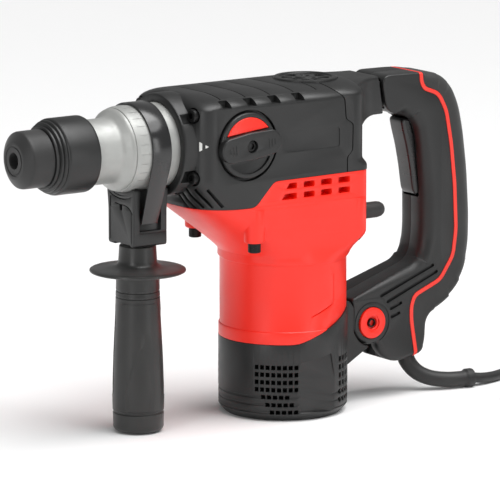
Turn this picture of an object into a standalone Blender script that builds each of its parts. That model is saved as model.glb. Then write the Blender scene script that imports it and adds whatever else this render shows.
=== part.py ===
"""Rotary hammer with SDS-plus chuck, side handle and damped D-handle.

Lengths below are in millimetres and become metres when a mesh is made.
X runs along the drill axis, the chuck points to -X and the D-handle is at +X.
The origin is on the ground, under the motor axis. +Z is up.
"""

import math

import bmesh
import bpy
from mathutils import Vector

MM = 0.001
GAP = 0.3

# Driving dimensions
DRILL_Z = 211.0
MOTOR_RADIUS = 47.5
CAP_RADIUS = 48.4
BODY_HALF_WIDTH = 46.0
BODY_FRONT_X = -104.0
BODY_REAR_X = 48.0
COVER_REAR_X = 46.6
ROOF_Z = 249.0
SHOULDER_Z = 230.0
WALL = 3.2
COVER_SEAM_X = 22.0
COLLAR_RADIUS = 31.5
NECK_RADIUS = 24.0
SLEEVE_RADIUS = 28.0
SLEEVE_REAR_X = -178.0
BARREL_RADIUS = 17.0
BARREL_BORE = 13.6
TOOL_BORE = 5.1
SIDE_HANDLE_X = -130.0
HANDLE_HALF = 19.0
PIVOT_X = 68.8
PIVOT_Z = 60.3
SELECTOR_X = -63.8
SELECTOR_Z = 212.0
CRANK_X = 20.0
LAYSHAFT_X = -24.0
PINION_TEETH = 9
CRANK_TEETH = 31
LAYSHAFT_TEETH = 39
BEVEL_PINION_TEETH = 6
BEVEL_GEAR_TEETH = 18
CAP_PORT_RADIUS = 24.0
CORD_RADIUS = 4.0
COIL_X, COIL_Y = 280.0, -32.0
COIL_INNER, COIL_OUTER, COIL_HEIGHT = 39.7, 56.3, 32.3

# Bodies whose cuts share faces with each other and are made with the manifold solver
SHARED_FACE_BODIES = ("gear_housing", "handle_left_shell", "handle_right_shell", "selector_knob")

# Finishes: base colour, roughness, metallic
FINISHES = {
    "black_plastic": ((0.035, 0.036, 0.036), 0.5, 0.0),
    "red_plastic": ((1.0, 0.06, 0.03), 0.35, 0.0),
    "black_rubber": ((0.02, 0.02, 0.02), 0.75, 0.0),
    "cast_alloy": ((0.55, 0.56, 0.54), 0.45, 0.6),
    "steel": ((0.45, 0.45, 0.46), 0.3, 1.0),
    "black_steel": ((0.03, 0.03, 0.03), 0.3, 0.8),
    "copper": ((0.72, 0.35, 0.2), 0.35, 1.0),
    "carbon": ((0.03, 0.03, 0.035), 0.6, 0.1),
}


def clear_scene():
    for thing in list(bpy.data.objects):
        bpy.data.objects.remove(thing, do_unlink=True)


def finish_material(key):
    material = bpy.data.materials.get(key)
    if material is None:
        material = bpy.data.materials.new(key)
        material.use_nodes = True
        shader = material.node_tree.nodes["Principled BSDF"]
        colour, roughness, metallic = FINISHES[key]
        shader.inputs["Base Color"].default_value = (*colour, 1.0)
        shader.inputs["Roughness"].default_value = roughness
        shader.inputs["Metallic"].default_value = metallic
    return material


def make_object(name, bm, finish):
    """Scale a millimetre bmesh to metres and give it an object of its own."""
    bmesh.ops.remove_doubles(bm, verts=bm.verts, dist=1e-4)
    bmesh.ops.recalc_face_normals(bm, faces=bm.faces)
    bmesh.ops.scale(bm, vec=Vector((MM, MM, MM)), verts=bm.verts)
    mesh = bpy.data.meshes.new(name)
    bm.to_mesh(mesh)
    bm.free()
    body = bpy.data.objects.new(name, mesh)
    bpy.context.collection.objects.link(body)
    if finish is not None:
        mesh.materials.append(finish_material(finish))
    return body


def as_cutter(body):
    body.hide_render = True
    body.display_type = "WIRE"
    return body


def boolean(body, other, operation):
    """Add a Boolean of body with other, which is hidden as a cutter."""
    modifier = body.modifiers.new(operation.lower(), "BOOLEAN")
    modifier.operation = operation
    modifier.solver = "MANIFOLD" if body.name in SHARED_FACE_BODIES else "EXACT"
    modifier.object = as_cutter(other)
    return body


def cut(body, *others):
    for other in others:
        boolean(body, other, "DIFFERENCE")
    return body


def join(body, *others):
    for other in others:
        boolean(body, other, "UNION")
    return body


def bevelled(body, width, segments=2, angle=35.0):
    modifier = body.modifiers.new("edges", "BEVEL")
    modifier.width = width * MM
    modifier.segments = segments
    modifier.limit_method = "ANGLE"
    modifier.angle_limit = math.radians(angle)
    return body


def axis_point(axis, along, across, up):
    """A point given along an axis and in the two directions across it."""
    if axis == "X":
        return Vector((along, across, up))
    if axis == "Y":
        return Vector((across, along, up))
    return Vector((across, up, along))


def turned(name, profile, finish=None, axis="Z", centre=(0.0, 0.0, 0.0), sides=24):
    """Spin a profile of (along, radius) points round an axis through centre."""
    bm = bmesh.new()
    origin = Vector(centre)
    points = [bm.verts.new(origin + axis_point(axis, along, radius, 0.0)) for along, radius in profile]
    edges = [bm.edges.new(pair) for pair in zip(points, points[1:])]
    if profile[0][1] > 0.0:
        edges.append(bm.edges.new((points[-1], points[0])))
    direction = axis_point(axis, 1.0, 0.0, 0.0)
    bmesh.ops.spin(bm, geom=points + edges, cent=origin, axis=direction, angle=math.tau,
                   steps=sides, use_merge=True, use_duplicate=False)
    return make_object(name, bm, finish)


def rod(name, low, high, radius, finish=None, axis="Z", centre=(0.0, 0.0, 0.0), sides=16):
    profile = [(low, 0.0), (low, radius), (high, radius), (high, 0.0)]
    return turned(name, profile, finish, axis, centre, sides)


def ring(name, low, high, inner, outer, finish=None, axis="Z", centre=(0.0, 0.0, 0.0), sides=24):
    profile = [(low, inner), (low, outer), (high, outer), (high, inner)]
    return turned(name, profile, finish, axis, centre, sides)


def prism(name, outline, low, high, finish=None, axis="Y"):
    """Extrude an outline along an axis from low to high."""
    bm = bmesh.new()
    face = bm.faces.new([bm.verts.new(axis_point(axis, low, u, v)) for u, v in outline])
    grown = bmesh.ops.extrude_face_region(bm, geom=[face])
    moved = [item for item in grown["geom"] if isinstance(item, bmesh.types.BMVert)]
    bmesh.ops.translate(bm, verts=moved, vec=axis_point(axis, high - low, 0.0, 0.0))
    return make_object(name, bm, finish)


def block(name, low, high, finish=None):
    outline = [(low[0], low[1]), (high[0], low[1]), (high[0], high[1]), (low[0], high[1])]
    return prism(name, outline, low[2], high[2], finish, axis="Z")


def plan_outline(front, rear, half, front_corner, rear_corner, steps=5):
    """Rounded rectangle in plan, with its own corner radius at the front and rear."""
    corners = ((rear, half, rear_corner, 0.0), (front, half, front_corner, 90.0),
               (front, -half, front_corner, 180.0), (rear, -half, rear_corner, 270.0))
    outline = []
    for x_end, y_end, radius, start in corners:
        x_mid = x_end - math.copysign(radius, x_end - (front + rear) / 2.0)
        y_mid = y_end - math.copysign(radius, y_end)
        for step in range(steps):
            angle = math.radians(start + 90.0 * (step + 0.5) / steps)
            outline.append((x_mid + radius * math.cos(angle), y_mid + radius * math.sin(angle)))
    return outline


def loft(name, sections, finish=None):
    """Bridge plan outlines (z, front, rear, half, front corner, rear corner)."""
    bm = bmesh.new()
    loops = []
    for z, *sizes in sections:
        loops.append([bm.verts.new((x, y, z)) for x, y in plan_outline(*sizes)])
    for lower, upper in zip(loops, loops[1:]):
        count = len(lower)
        for index in range(count):
            after = (index + 1) % count
            bm.faces.new((lower[index], lower[after], upper[after], upper[index]))
    bm.faces.new(list(reversed(loops[0])))
    bm.faces.new(loops[-1])
    return make_object(name, bm, finish)


def shrunk(sections, wall, low, high=None):
    """The same sections moved in by a wall, with the lower end replaced and maybe the upper one."""
    inner = []
    for z, front, rear, half, front_corner, rear_corner in sections:
        drop = wall if z > SHOULDER_Z else 0.0
        inner.append([z - drop, front + wall, rear - wall, half - wall,
                      max(front_corner - wall, 1.0), max(rear_corner - wall, 1.0)])
    inner[0][0] = low
    if high is not None:
        inner[-1][0] = high
    return inner


def arc(centre_x, centre_z, radius, start, end, steps):
    """Points on an arc in degrees, both ends included."""
    points = []
    for step in range(steps + 1):
        angle = math.radians(start + (end - start) * step / steps)
        points.append((centre_x + radius * math.cos(angle), centre_z + radius * math.sin(angle)))
    return points


def coil_spring(name, low, high, radius, wire, turns, axis, centre, finish="steel"):
    """Compression spring as a swept wire."""
    curve = bpy.data.curves.new(name, "CURVE")
    curve.dimensions = "3D"
    curve.bevel_depth = wire / 2.0 * MM
    curve.bevel_resolution = 0
    curve.use_fill_caps = True
    count = turns * 8
    spline = curve.splines.new("POLY")
    spline.points.add(count)
    for index in range(count + 1):
        angle = math.tau * index / 8.0
        along = low + (high - low) * index / count
        point = axis_point(axis, along, radius * math.cos(angle), radius * math.sin(angle))
        point = (point + Vector(centre)) * MM
        spline.points[index].co = (*point, 1.0)
    body = bpy.data.objects.new(name, curve)
    bpy.context.collection.objects.link(body)
    curve.materials.append(finish_material(finish))
    return body


def smooth_path(points, spacing):
    """Points along a Catmull-Rom curve through the given ones, about spacing apart."""
    knots = [Vector(point) for point in points]
    knots = [knots[0] * 2.0 - knots[1], *knots, knots[-1] * 2.0 - knots[-2]]
    path = []
    for before, start, end, after in zip(knots, knots[1:], knots[2:], knots[3:]):
        steps = max(1, round((end - start).length / spacing))
        for step in range(steps):
            t = step / steps
            path.append(0.5 * (2.0 * start + (end - before) * t
                               + (2.0 * before - 5.0 * start + 4.0 * end - after) * t * t
                               + (3.0 * start - before - 3.0 * end + after) * t ** 3))
    path.append(knots[-2])
    return path


def tapered_tube(name, points, radii, finish=None, sides=12):
    """Closed tube through points with a radius at each."""
    bm = bmesh.new()
    path = [Vector(point) for point in points]
    loops = []
    for index, point in enumerate(path):
        ahead = path[min(index + 1, len(path) - 1)] - path[max(index - 1, 0)]
        side = ahead.cross(Vector((0.0, 0.0, 1.0)))
        if side.length < 1e-3 * ahead.length:
            side = Vector((0.0, 1.0, 0.0))
        side.normalize()
        up = side.cross(ahead).normalized()
        loop = []
        for step in range(sides):
            angle = math.tau * step / sides
            loop.append(bm.verts.new(point + radii[index] * (side * math.cos(angle) + up * math.sin(angle))))
        loops.append(loop)
    for lower, upper in zip(loops, loops[1:]):
        for step in range(sides):
            after = (step + 1) % sides
            bm.faces.new((lower[step], lower[after], upper[after], upper[step]))
    bm.faces.new(list(reversed(loops[0])))
    bm.faces.new(loops[-1])
    return make_object(name, bm, finish)


# ---------------------------------------------------------------- housings

# Plan sections of the two main housings: z, front, rear, half width, corner radii
UPPER_BODY = [
    (150.0, -99.0, BODY_REAR_X, BODY_HALF_WIDTH, 34.0, 9.0),
    (166.0, -99.0, BODY_REAR_X, BODY_HALF_WIDTH, 34.0, 9.0),
    (173.0, BODY_FRONT_X, BODY_REAR_X, BODY_HALF_WIDTH, 27.0, 9.0),
    (188.0, BODY_FRONT_X, BODY_REAR_X, BODY_HALF_WIDTH, 13.0, 9.5),
    (194.0, BODY_FRONT_X, COVER_REAR_X, BODY_HALF_WIDTH, 13.0, 15.0),
    (240.0, BODY_FRONT_X, COVER_REAR_X, BODY_HALF_WIDTH, 13.0, 15.0),
    (243.6, -103.4, 46.2, 43.0, 14.0, 15.0),
    (246.4, -101.5, 45.6, 35.0, 18.0, 14.0),
    (248.3, -98.0, 45.0, 24.0, 16.0, 12.0),
    (ROOF_Z, -94.0, 44.4, 12.0, 10.0, 8.0),
]
LOWER_BODY = [
    (40.0, -CAP_RADIUS, CAP_RADIUS, CAP_RADIUS, CAP_RADIUS, CAP_RADIUS),
    (66.0, -CAP_RADIUS, CAP_RADIUS, CAP_RADIUS, CAP_RADIUS, CAP_RADIUS),
    (67.0, -MOTOR_RADIUS, MOTOR_RADIUS, MOTOR_RADIUS, MOTOR_RADIUS, MOTOR_RADIUS),
    (117.0, -MOTOR_RADIUS, MOTOR_RADIUS, MOTOR_RADIUS, MOTOR_RADIUS, MOTOR_RADIUS),
    (118.5, -CAP_RADIUS, BODY_REAR_X, CAP_RADIUS, CAP_RADIUS, 46.0),
    (125.0, -51.5, BODY_REAR_X, 47.0, 44.0, 40.0),
    (137.0, -65.0, BODY_REAR_X, BODY_HALF_WIDTH, 40.0, 11.0),
    (166.0, -98.5, BODY_REAR_X, BODY_HALF_WIDTH, 34.0, 9.0),
    (200.0, -98.5, BODY_REAR_X, BODY_HALF_WIDTH, 34.0, 9.0),
]
SHOULDER_VENTS_X = (-82.0, -60.0, -38.5, -17.0)
RED_VENTS = [(-31.0 + 15.8 * column, z) for z in (179.0, 171.5) for column in range(4)]


def split_outline(rise):
    """Side outline of the space above the line where the motor housing meets the gear housing."""
    return [(-140.0, 165.6 + rise), (-57.0, 165.6 + rise), (-40.0, 183.3 + rise), (90.0, 184.2 + rise),
            (90.0, 330.0), (-140.0, 330.0)]


def cap_split_outline(rise):
    """Side outline of the space above the line where the motor housing meets its end cap."""
    return [(-90.0, 57.5 + rise), (-18.0, 57.5 + rise), (2.0, 65.0 + rise), (32.0, 77.0 + rise),
            (90.0, 90.0 + rise), (90.0, 330.0), (-90.0, 330.0)]


def upper_cavity(name):
    return loft(name, shrunk(UPPER_BODY, WALL, low=100.0))


def grease_port(name):
    return rod(name, 238.0, 260.0, CAP_PORT_RADIUS + 0.4, centre=(CRANK_X, 0.0, 0.0), sides=32)


def make_gear_housing():
    body = loft("gear_housing", UPPER_BODY, "black_plastic")
    join(body, rod("front_disc", -113.5, -95.0, 38.2, axis="X", centre=(0.0, 0.0, DRILL_Z), sides=32))
    cut(body, upper_cavity("gear_space"))
    cut(body, rod("front_bore", -120.0, -90.0, 32.2, axis="X", centre=(0.0, 0.0, DRILL_Z), sides=32))
    cut(body, block("behind_seam", (COVER_SEAM_X, -80.0, 60.0), (90.0, 80.0, 300.0)))
    cut(body, prism("below_split", [(-140.0, 100.0), (60.0, 100.0)] + list(reversed(split_outline(0.0)[:4])),
                    -80.0, 80.0))
    cut(body, rod("selector_recess", -60.0, -41.4, 27.2, axis="Y",
                  centre=(SELECTOR_X, 0.0, SELECTOR_Z), sides=32))
    cut(body, rod("selector_bore", -60.0, -30.0, 6.0, axis="Y",
                  centre=(SELECTOR_X, 0.0, SELECTOR_Z), sides=20))
    cut(body, grease_port("grease_port"))
    for side in (-1.0, 1.0):
        for number, x in enumerate(SHOULDER_VENTS_X):
            cut(body, block(f"shoulder_vent_{number}", (x - 4.4, side * 44.0 - 5.0, 240.6),
                            (x + 4.4, side * 44.0 + 5.0, 246.0)))
    for y, z in screw_places():
        cut(body, rod("screw_seat", -112.0, -100.9, 5.6, axis="X", centre=(0.0, y, z), sides=10))
        cut(body, rod("screw_hole", -112.0, -90.0, 2.9, axis="X", centre=(0.0, y, z), sides=8))
    return body


def screw_places():
    return [(side * 36.5, DRILL_Z + up) for side in (-1.0, 1.0) for up in (-21.5, 22.5)]


def bolt_places():
    return [(x, side * 38.5) for x in (-53.0, 37.5) for side in (-1.0, 1.0)]


def make_rear_cover():
    body = loft("rear_cover", UPPER_BODY, "black_plastic")
    arm = bevelled(prism("upper_arm", [(30.0, 206.0), (46.0, 206.0), (52.0, 213.0), (62.0, 217.0), (78.2, 218.5),
                                       (73.4, 247.5), (30.0, 247.5)], -HANDLE_HALF, HANDLE_HALF), 3.0)
    join(body, arm)
    gusset = prism("arm_gusset", [(24.0, -41.0), (40.0, -36.0), (54.0, -25.5), (64.5, -18.8), (64.5, 18.8),
                                  (54.0, 25.5), (40.0, 36.0), (24.0, 41.0)], 221.0, 241.0, axis="Z")
    join(body, bevelled(gusset, 2.0))
    cut(body, upper_cavity("cover_space"))
    cut(body, block("ahead_of_seam", (-140.0, -80.0, 60.0), (COVER_SEAM_X + GAP, 80.0, 300.0)))
    cut(body, prism("below_cover", [(-140.0, 100.0), (60.0, 100.0)] + list(reversed(split_outline(0.0)[:4])),
                    -80.0, 80.0))
    cut(body, block("arm_mouth", (60.0, -15.3, 221.3), (90.0, 15.3, 244.5)))
    cut(body, block("arm_passage", (40.0, -9.0, 224.0), (90.0, 9.0, 241.0)))
    cut(body, grease_port("grease_port_rear"))
    return body


def make_motor_housing():
    body = loft("motor_housing", LOWER_BODY, "red_plastic")
    for number, (x, y) in enumerate(bolt_places()):
        join(body, rod(f"bolt_boss_{number}", 138.0, 160.0, 7.5, centre=(x, y, 0.0), sides=12))
    inner = shrunk(LOWER_BODY, WALL, low=20.0, high=240.0)
    cut(body, loft("motor_space", inner))
    for number, (x, y) in enumerate(bolt_places()):
        cut(body, rod(f"bolt_seat_{number}", 120.0, 139.6, 5.6, centre=(x, y, 0.0), sides=10))
        cut(body, rod(f"bolt_hole_{number}", 120.0, 210.0, 2.9, centre=(x, y, 0.0), sides=8))
    cut(body, prism("above_split", split_outline(-GAP), -80.0, 80.0))
    below = [(-90.0, 0.0), (90.0, 0.0)] + list(reversed(cap_split_outline(GAP)[:5]))
    cut(body, prism("below_cap_split", below, -80.0, 80.0))
    for number, (x, z) in enumerate(RED_VENTS):
        cut(body, block(f"red_vent_{number}", (x - 6.0, -60.0, z - 2.3), (x + 6.0, -38.0, z + 2.3)))
    return body


CAP_PROFILE = [(0.0, 0.0), (0.0, 44.0), (4.5, 47.6), (8.0, CAP_RADIUS), (100.0, CAP_RADIUS), (100.0, 0.0)]


def make_motor_end_cap():
    body = turned("motor_end_cap", CAP_PROFILE, "black_plastic", sides=40)
    shoulder = prism("bracket_shoulder", [(20.0, 26.0), (43.0, 30.5), (62.0, 42.5), (56.0, 46.5), (51.5, 53.0),
                                          (51.5, 74.0), (47.5, 79.5), (20.0, 79.5)], -20.0, 20.0)
    join(body, bevelled(shoulder, 1.5))
    tongue = prism("bracket_tongue", arc(PIVOT_X, PIVOT_Z, 12.0, -115.0, 115.0, 12)
                   + [(45.0, 74.0), (45.0, 46.0)], -9.5, 9.5)
    join(body, tongue)
    cut(body, prism("above_cap_split", cap_split_outline(0.0), -80.0, 80.0))
    cut(body, rod("cap_space", 3.5, 140.0, 44.6, sides=32))
    cut(body, rod("pivot_hole", -30.0, 30.0, 5.4, axis="Y", centre=(PIVOT_X, 0.0, PIVOT_Z), sides=20))
    seat = ring("bearing_seat", 2.0, 14.0, 11.4, 15.0, sides=24)
    join(body, seat)
    for row in range(3):
        for column in range(4):
            angle = math.radians(-145.0 + 9.6 * column)
            middle = Vector((math.cos(angle), math.sin(angle), 0.0)) * CAP_RADIUS
            size = 1.6
            z = 22.5 + 7.0 * row
            cut(body, block(f"cap_vent_{row}_{column}", (middle.x - size * 1.6, middle.y - size * 1.6, z),
                            (middle.x + size * 1.6, middle.y + size * 1.6, z + 4.0)))
    return body


def make_nose_casting():
    profile = [(SLEEVE_REAR_X - 1.0, 17.8), (SLEEVE_REAR_X - 1.0, 23.0), (SLEEVE_REAR_X, NECK_RADIUS),
               (-158.0, NECK_RADIUS), (-155.0, 26.0), (-152.5, 29.5), (-150.0, 30.6), (-146.5, COLLAR_RADIUS),
               (-101.5, COLLAR_RADIUS), (-96.0, COLLAR_RADIUS), (-96.0, 29.0), (-150.0, 27.0), (-156.0, 19.8),
               (-164.0, 19.8), (-164.0, 17.8)]
    return turned("nose_casting", profile, "cast_alloy", axis="X", centre=(0.0, 0.0, DRILL_Z), sides=32)


def make_grease_cap():
    centre = (CRANK_X, 0.0, 0.0)
    profile = [(243.0, 0.0), (243.0, 22.0), (244.6, CAP_PORT_RADIUS), (ROOF_Z + 0.6, CAP_PORT_RADIUS),
               (ROOF_Z + 1.4, 23.4), (ROOF_Z + 1.4, 20.0), (ROOF_Z + 0.4, 19.4), (ROOF_Z + 0.4, 7.0),
               (ROOF_Z + 1.0, 6.6), (ROOF_Z + 1.0, 0.0)]
    body = turned("grease_cap", profile, "black_plastic", centre=centre, sides=28)
    for number in range(8):
        angle = math.tau * number / 8.0
        middle = (centre[0] + 13.5 * math.cos(angle), 13.5 * math.sin(angle))
        cut(body, rod(f"cap_pocket_{number}", ROOF_Z - 0.6, ROOF_Z + 5.0, 3.2,
                      centre=(*middle, 0.0), sides=6))
    return body


def make_gear_plate():
    """Light-alloy plate that carries the upper ends of the shafts."""
    plate = loft("gear_plate", [(151.0, -72.0, 43.0, 35.4, 30.0, 8.0), (157.0, -76.0, 43.0, 35.4, 30.0, 8.0)],
                 "cast_alloy")
    cut(plate, rod("armature_hole", 140.0, 170.0, 11.4, sides=24))
    cut(plate, rod("layshaft_hole", 140.0, 170.0, 4.4, centre=(LAYSHAFT_X, 0.0, 0.0), sides=16))
    cut(plate, rod("crank_hole", 140.0, 170.0, 5.4, centre=(CRANK_X, 0.0, 0.0), sides=16))
    return plate


def make_fasteners():
    for number, (y, z) in enumerate(screw_places(), start=1):
        profile = [(-106.0, 0.0), (-106.0, 4.9), (-101.2, 4.9), (-101.2, 2.5), (-84.0, 2.5), (-84.0, 0.0)]
        screw = turned(f"nose_screw_{number}", profile, "black_steel", axis="X", centre=(0.0, y, z), sides=10)
        cut(screw, rod(f"nose_hex_{number}", -110.0, -103.4, 2.4, axis="X", centre=(0.0, y, z), sides=6))
    for number, (x, y) in enumerate(bolt_places(), start=1):
        profile = [(130.5, 0.0), (130.5, 4.6), (139.3, 4.6), (139.3, 2.5), (163.0, 2.5), (163.0, 0.0)]
        bolt = turned(f"housing_bolt_{number}", profile, "black_steel", centre=(x, y, 0.0), sides=10)
        cut(bolt, rod(f"bolt_hex_{number}", 120.0, 134.5, 2.4, centre=(x, y, 0.0), sides=6))


def make_rear_buffer():
    profile = [(48.3, 0.0), (48.3, 6.2), (70.5, 6.0), (74.4, 4.5), (76.4, 2.0), (76.4, 0.0)]
    return turned("rear_buffer", profile, "black_rubber", axis="X", centre=(0.0, -22.0, 147.6), sides=16)


# ---------------------------------------------------------------- motor

def make_motor():
    shaft = [(6.0, 0.0), (6.0, 4.5), (22.0, 4.5), (22.0, 5.5), (149.0, 5.5), (149.0, 4.6), (163.0, 4.6),
             (163.0, 3.0), (180.0, 3.0), (180.0, 0.0)]
    body = turned("armature_shaft", shaft, "steel", sides=20)
    pinion = prism("motor_pinion", gear_outline(PINION_TEETH, 1.0, phase=0.5), 167.0, 179.0, axis="Z")
    join(body, pinion)
    ring("armature_core", 62.0, 106.0, 5.8, 22.5, "steel", sides=28)
    ring("commutator", 34.0, 48.0, 5.8, 13.0, "copper", sides=28)
    fan = ring("cooling_fan", 121.0, 124.0, 5.8, 33.0, "black_plastic", sides=24)
    for number in range(6):
        angle = math.tau * number / 6.0
        blade = block(f"fan_blade_{number}", (12.0, -0.8, 123.5), (31.0, 0.8, 132.0))
        blade.rotation_euler = (0.0, 0.0, angle)
        join(fan, blade)
    ring("lower_motor_bearing", 6.5, 13.5, 4.8, 11.0, "steel", sides=24)
    ring("upper_motor_bearing", 151.5, 157.5, 4.9, 11.0, "steel", sides=24)
    ring("stator", 58.0, 112.0, 23.6, 43.4, "steel", sides=32)
    for number, side in enumerate((-1.0, 1.0), start=1):
        low, high = sorted((side * 13.6, side * 32.0))
        block(f"carbon_brush_{number}", (-4.0, low, 37.0), (4.0, high, 45.0), "carbon")


def gear_outline(teeth, module, phase=0.0, centre=(0.0, 0.0), width=0.34):
    """Outline of a spur gear with slim trapezoid teeth, so a pair keeps some backlash."""
    pitch = teeth * module / 2.0
    tip, root = pitch + 0.8 * module, pitch - 1.15 * module
    outline = []
    for tooth in range(teeth):
        middle = math.tau * (tooth + phase) / teeth
        half = math.pi * width / teeth
        for radius, offset in ((root, -1.7 * half), (tip, -0.6 * half), (tip, 0.6 * half), (root, 1.7 * half)):
            outline.append((centre[0] + radius * math.cos(middle + offset),
                            centre[1] + radius * math.sin(middle + offset)))
    return outline


# ---------------------------------------------------------------- gear train and hammer

def make_crank():
    centre = (CRANK_X, 0.0)
    body = prism("crank_gear", gear_outline(CRANK_TEETH, 1.0, phase=0.5, centre=centre), 170.0, 176.0,
                 "steel", axis="Z")
    shaft = [(146.0, 0.0), (146.0, 5.0), (172.0, 5.0), (172.0, 7.0), (190.0, 7.0), (190.0, 14.0),
             (196.0, 14.0), (196.0, 0.0)]
    join(body, turned("crank_shaft", shaft, centre=(CRANK_X, 0.0, 0.0), sides=20))
    join(body, rod("crank_pin", 195.0, 204.4, 4.0, centre=(CRANK_X + 9.0, 0.0, 0.0), sides=16))
    return body


def make_layshaft():
    centre = (LAYSHAFT_X, 0.0)
    body = prism("layshaft_gear", gear_outline(LAYSHAFT_TEETH, 1.0, phase=0.5, centre=centre), 170.0, 175.0,
                 "steel", axis="Z")
    shaft = [(146.0, 0.0), (146.0, 4.0), (172.0, 4.0), (172.0, 5.0), (188.0, 5.0), (188.0, 0.0)]
    join(body, turned("layshaft", shaft, centre=(LAYSHAFT_X, 0.0, 0.0), sides=16))
    bm = bmesh.new()
    loops = []
    for z, scale in ((185.5, 1.03), (191.5, 0.80)):
        loop = gear_outline(BEVEL_PINION_TEETH, 2.55 * scale, phase=0.0, centre=centre, width=0.30)
        loops.append([bm.verts.new((x, y, z)) for x, y in loop])
    for index in range(len(loops[0])):
        after = (index + 1) % len(loops[0])
        bm.faces.new((loops[0][index], loops[0][after], loops[1][after], loops[1][index]))
    bm.faces.new(list(reversed(loops[0])))
    bm.faces.new(loops[1])
    join(body, make_object("bevel_pinion", bm, None))
    return body


def make_spindle_gear():
    """Crown bevel gear round the rear of the barrel, with its teeth facing the crank."""
    bm = bmesh.new()
    loops = []
    steps = BEVEL_GEAR_TEETH * 4
    for index in range(steps):
        angle = math.tau * (index + 2.0) / steps
        face = 0.9 if index % 4 == 0 else -1.6
        rows = ((18.2, -30.9 + face * 0.8), (25.4, -32.3 + face), (25.4, -38.5), (18.2, -38.5))
        loops.append([bm.verts.new((x, radius * math.sin(angle), DRILL_Z - radius * math.cos(angle)))
                      for radius, x in rows])
    for index, loop in enumerate(loops):
        after = loops[(index + 1) % steps]
        for corner in range(4):
            following = (corner + 1) % 4
            bm.faces.new((loop[corner], loop[following], after[following], after[corner]))
    return make_object("spindle_gear", bm, "steel")


def make_chuck_and_hammer():
    axis_centre = (0.0, 0.0, DRILL_Z)
    spindle = [(-227.5, TOOL_BORE), (-227.5, 10.0), (-226.0, 11.5), (-180.0, 11.5), (-180.0, 14.0),
               (-160.0, 14.0), (-158.0, BARREL_RADIUS), (-33.0, BARREL_RADIUS), (-33.0, BARREL_BORE),
               (-150.0, BARREL_BORE), (-154.0, 8.4), (-168.0, 8.4), (-170.0, TOOL_BORE)]
    body = turned("tool_spindle", spindle, "steel", axis="X", centre=axis_centre, sides=24)
    for number, side in enumerate((-1.0, 1.0), start=1):
        place = Vector((-197.0, side * 11.6, DRILL_Z))
        cut(body, ball(f"ball_pocket_{number}", place, 3.6, None))
        ball(f"locking_ball_{number}", place, 3.0, "steel")
    cap = [(-236.0, 6.0), (-236.0, 17.5), (-234.8, 19.8), (-232.5, 21.0), (-214.0, 21.0), (-214.0, 16.0),
           (-215.0, 12.0), (-228.2, 12.0), (-228.2, 6.0)]
    turned("dust_cap", cap, "black_rubber", axis="X", centre=axis_centre, sides=28)
    sleeve = [(-213.5, 15.6), (-213.5, 23.2), (-211.0, 23.4), (-210.6, 25.0), (-208.4, 25.3), (-208.0, 26.8),
              (-206.0, 27.2), (-205.0, SLEEVE_RADIUS), (-180.0, SLEEVE_RADIUS), (SLEEVE_REAR_X, 27.0),
              (SLEEVE_REAR_X, 25.0), (-204.0, 25.0), (-204.0, 15.6)]
    turned("locking_sleeve", sleeve, "black_plastic", axis="X", centre=axis_centre, sides=28)
    coil_spring("chuck_spring", -202.0, -181.2, 19.5, 1.6, 4, "X", axis_centre)
    ring("spindle_bearing", -163.6, -160.4, 14.3, 19.4, "steel", axis="X", centre=axis_centre, sides=24)
    impact = [(-167.0, 0.0), (-167.0, 8.0), (-146.0, 8.0), (-146.0, 13.2), (-138.0, 13.2), (-138.0, 9.0),
              (-128.0, 9.0), (-128.0, 0.0)]
    turned("impact_bolt", impact, "steel", axis="X", centre=axis_centre, sides=24)
    striker = [(-114.0, 0.0), (-114.0, 8.0), (-106.0, 8.0), (-104.0, 13.1), (-84.0, 13.1), (-84.0, 0.0)]
    turned("striker", striker, "steel", axis="X", centre=axis_centre, sides=24)
    piston = rod("piston", -58.0, -38.0, 13.1, "cast_alloy", axis="X", centre=axis_centre, sides=24)
    cut(piston, block("wrist_slot", (-54.0, -14.0, DRILL_Z - 5.8), (-30.0, 14.0, DRILL_Z + 5.8)))
    join(piston, rod("wrist_pin", DRILL_Z - 7.0, DRILL_Z + 7.0, 3.0, centre=(-46.0, 0.0, 0.0), sides=12))
    link = bevelled(prism("connecting_rod", arc(CRANK_X + 9.0, 0.0, 7.5, -150.0, 150.0, 12)
                          + arc(-46.0, 0.0, 5.8, 30.0, 330.0, 10), DRILL_Z - 5.4, DRILL_Z + 5.4, "cast_alloy",
                          axis="Z"), 0.5, 1)
    cut(link, rod("big_end", 200.0, 220.0, 4.4, centre=(CRANK_X + 9.0, 0.0, 0.0), sides=16))
    cut(link, rod("small_end", 200.0, 220.0, 3.4, centre=(-46.0, 0.0, 0.0), sides=12))


def ball(name, place, radius, finish):
    bm = bmesh.new()
    bmesh.ops.create_uvsphere(bm, u_segments=8, v_segments=6, radius=radius)
    bmesh.ops.translate(bm, verts=bm.verts, vec=place)
    return make_object(name, bm, finish)


# ---------------------------------------------------------------- selector

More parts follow.
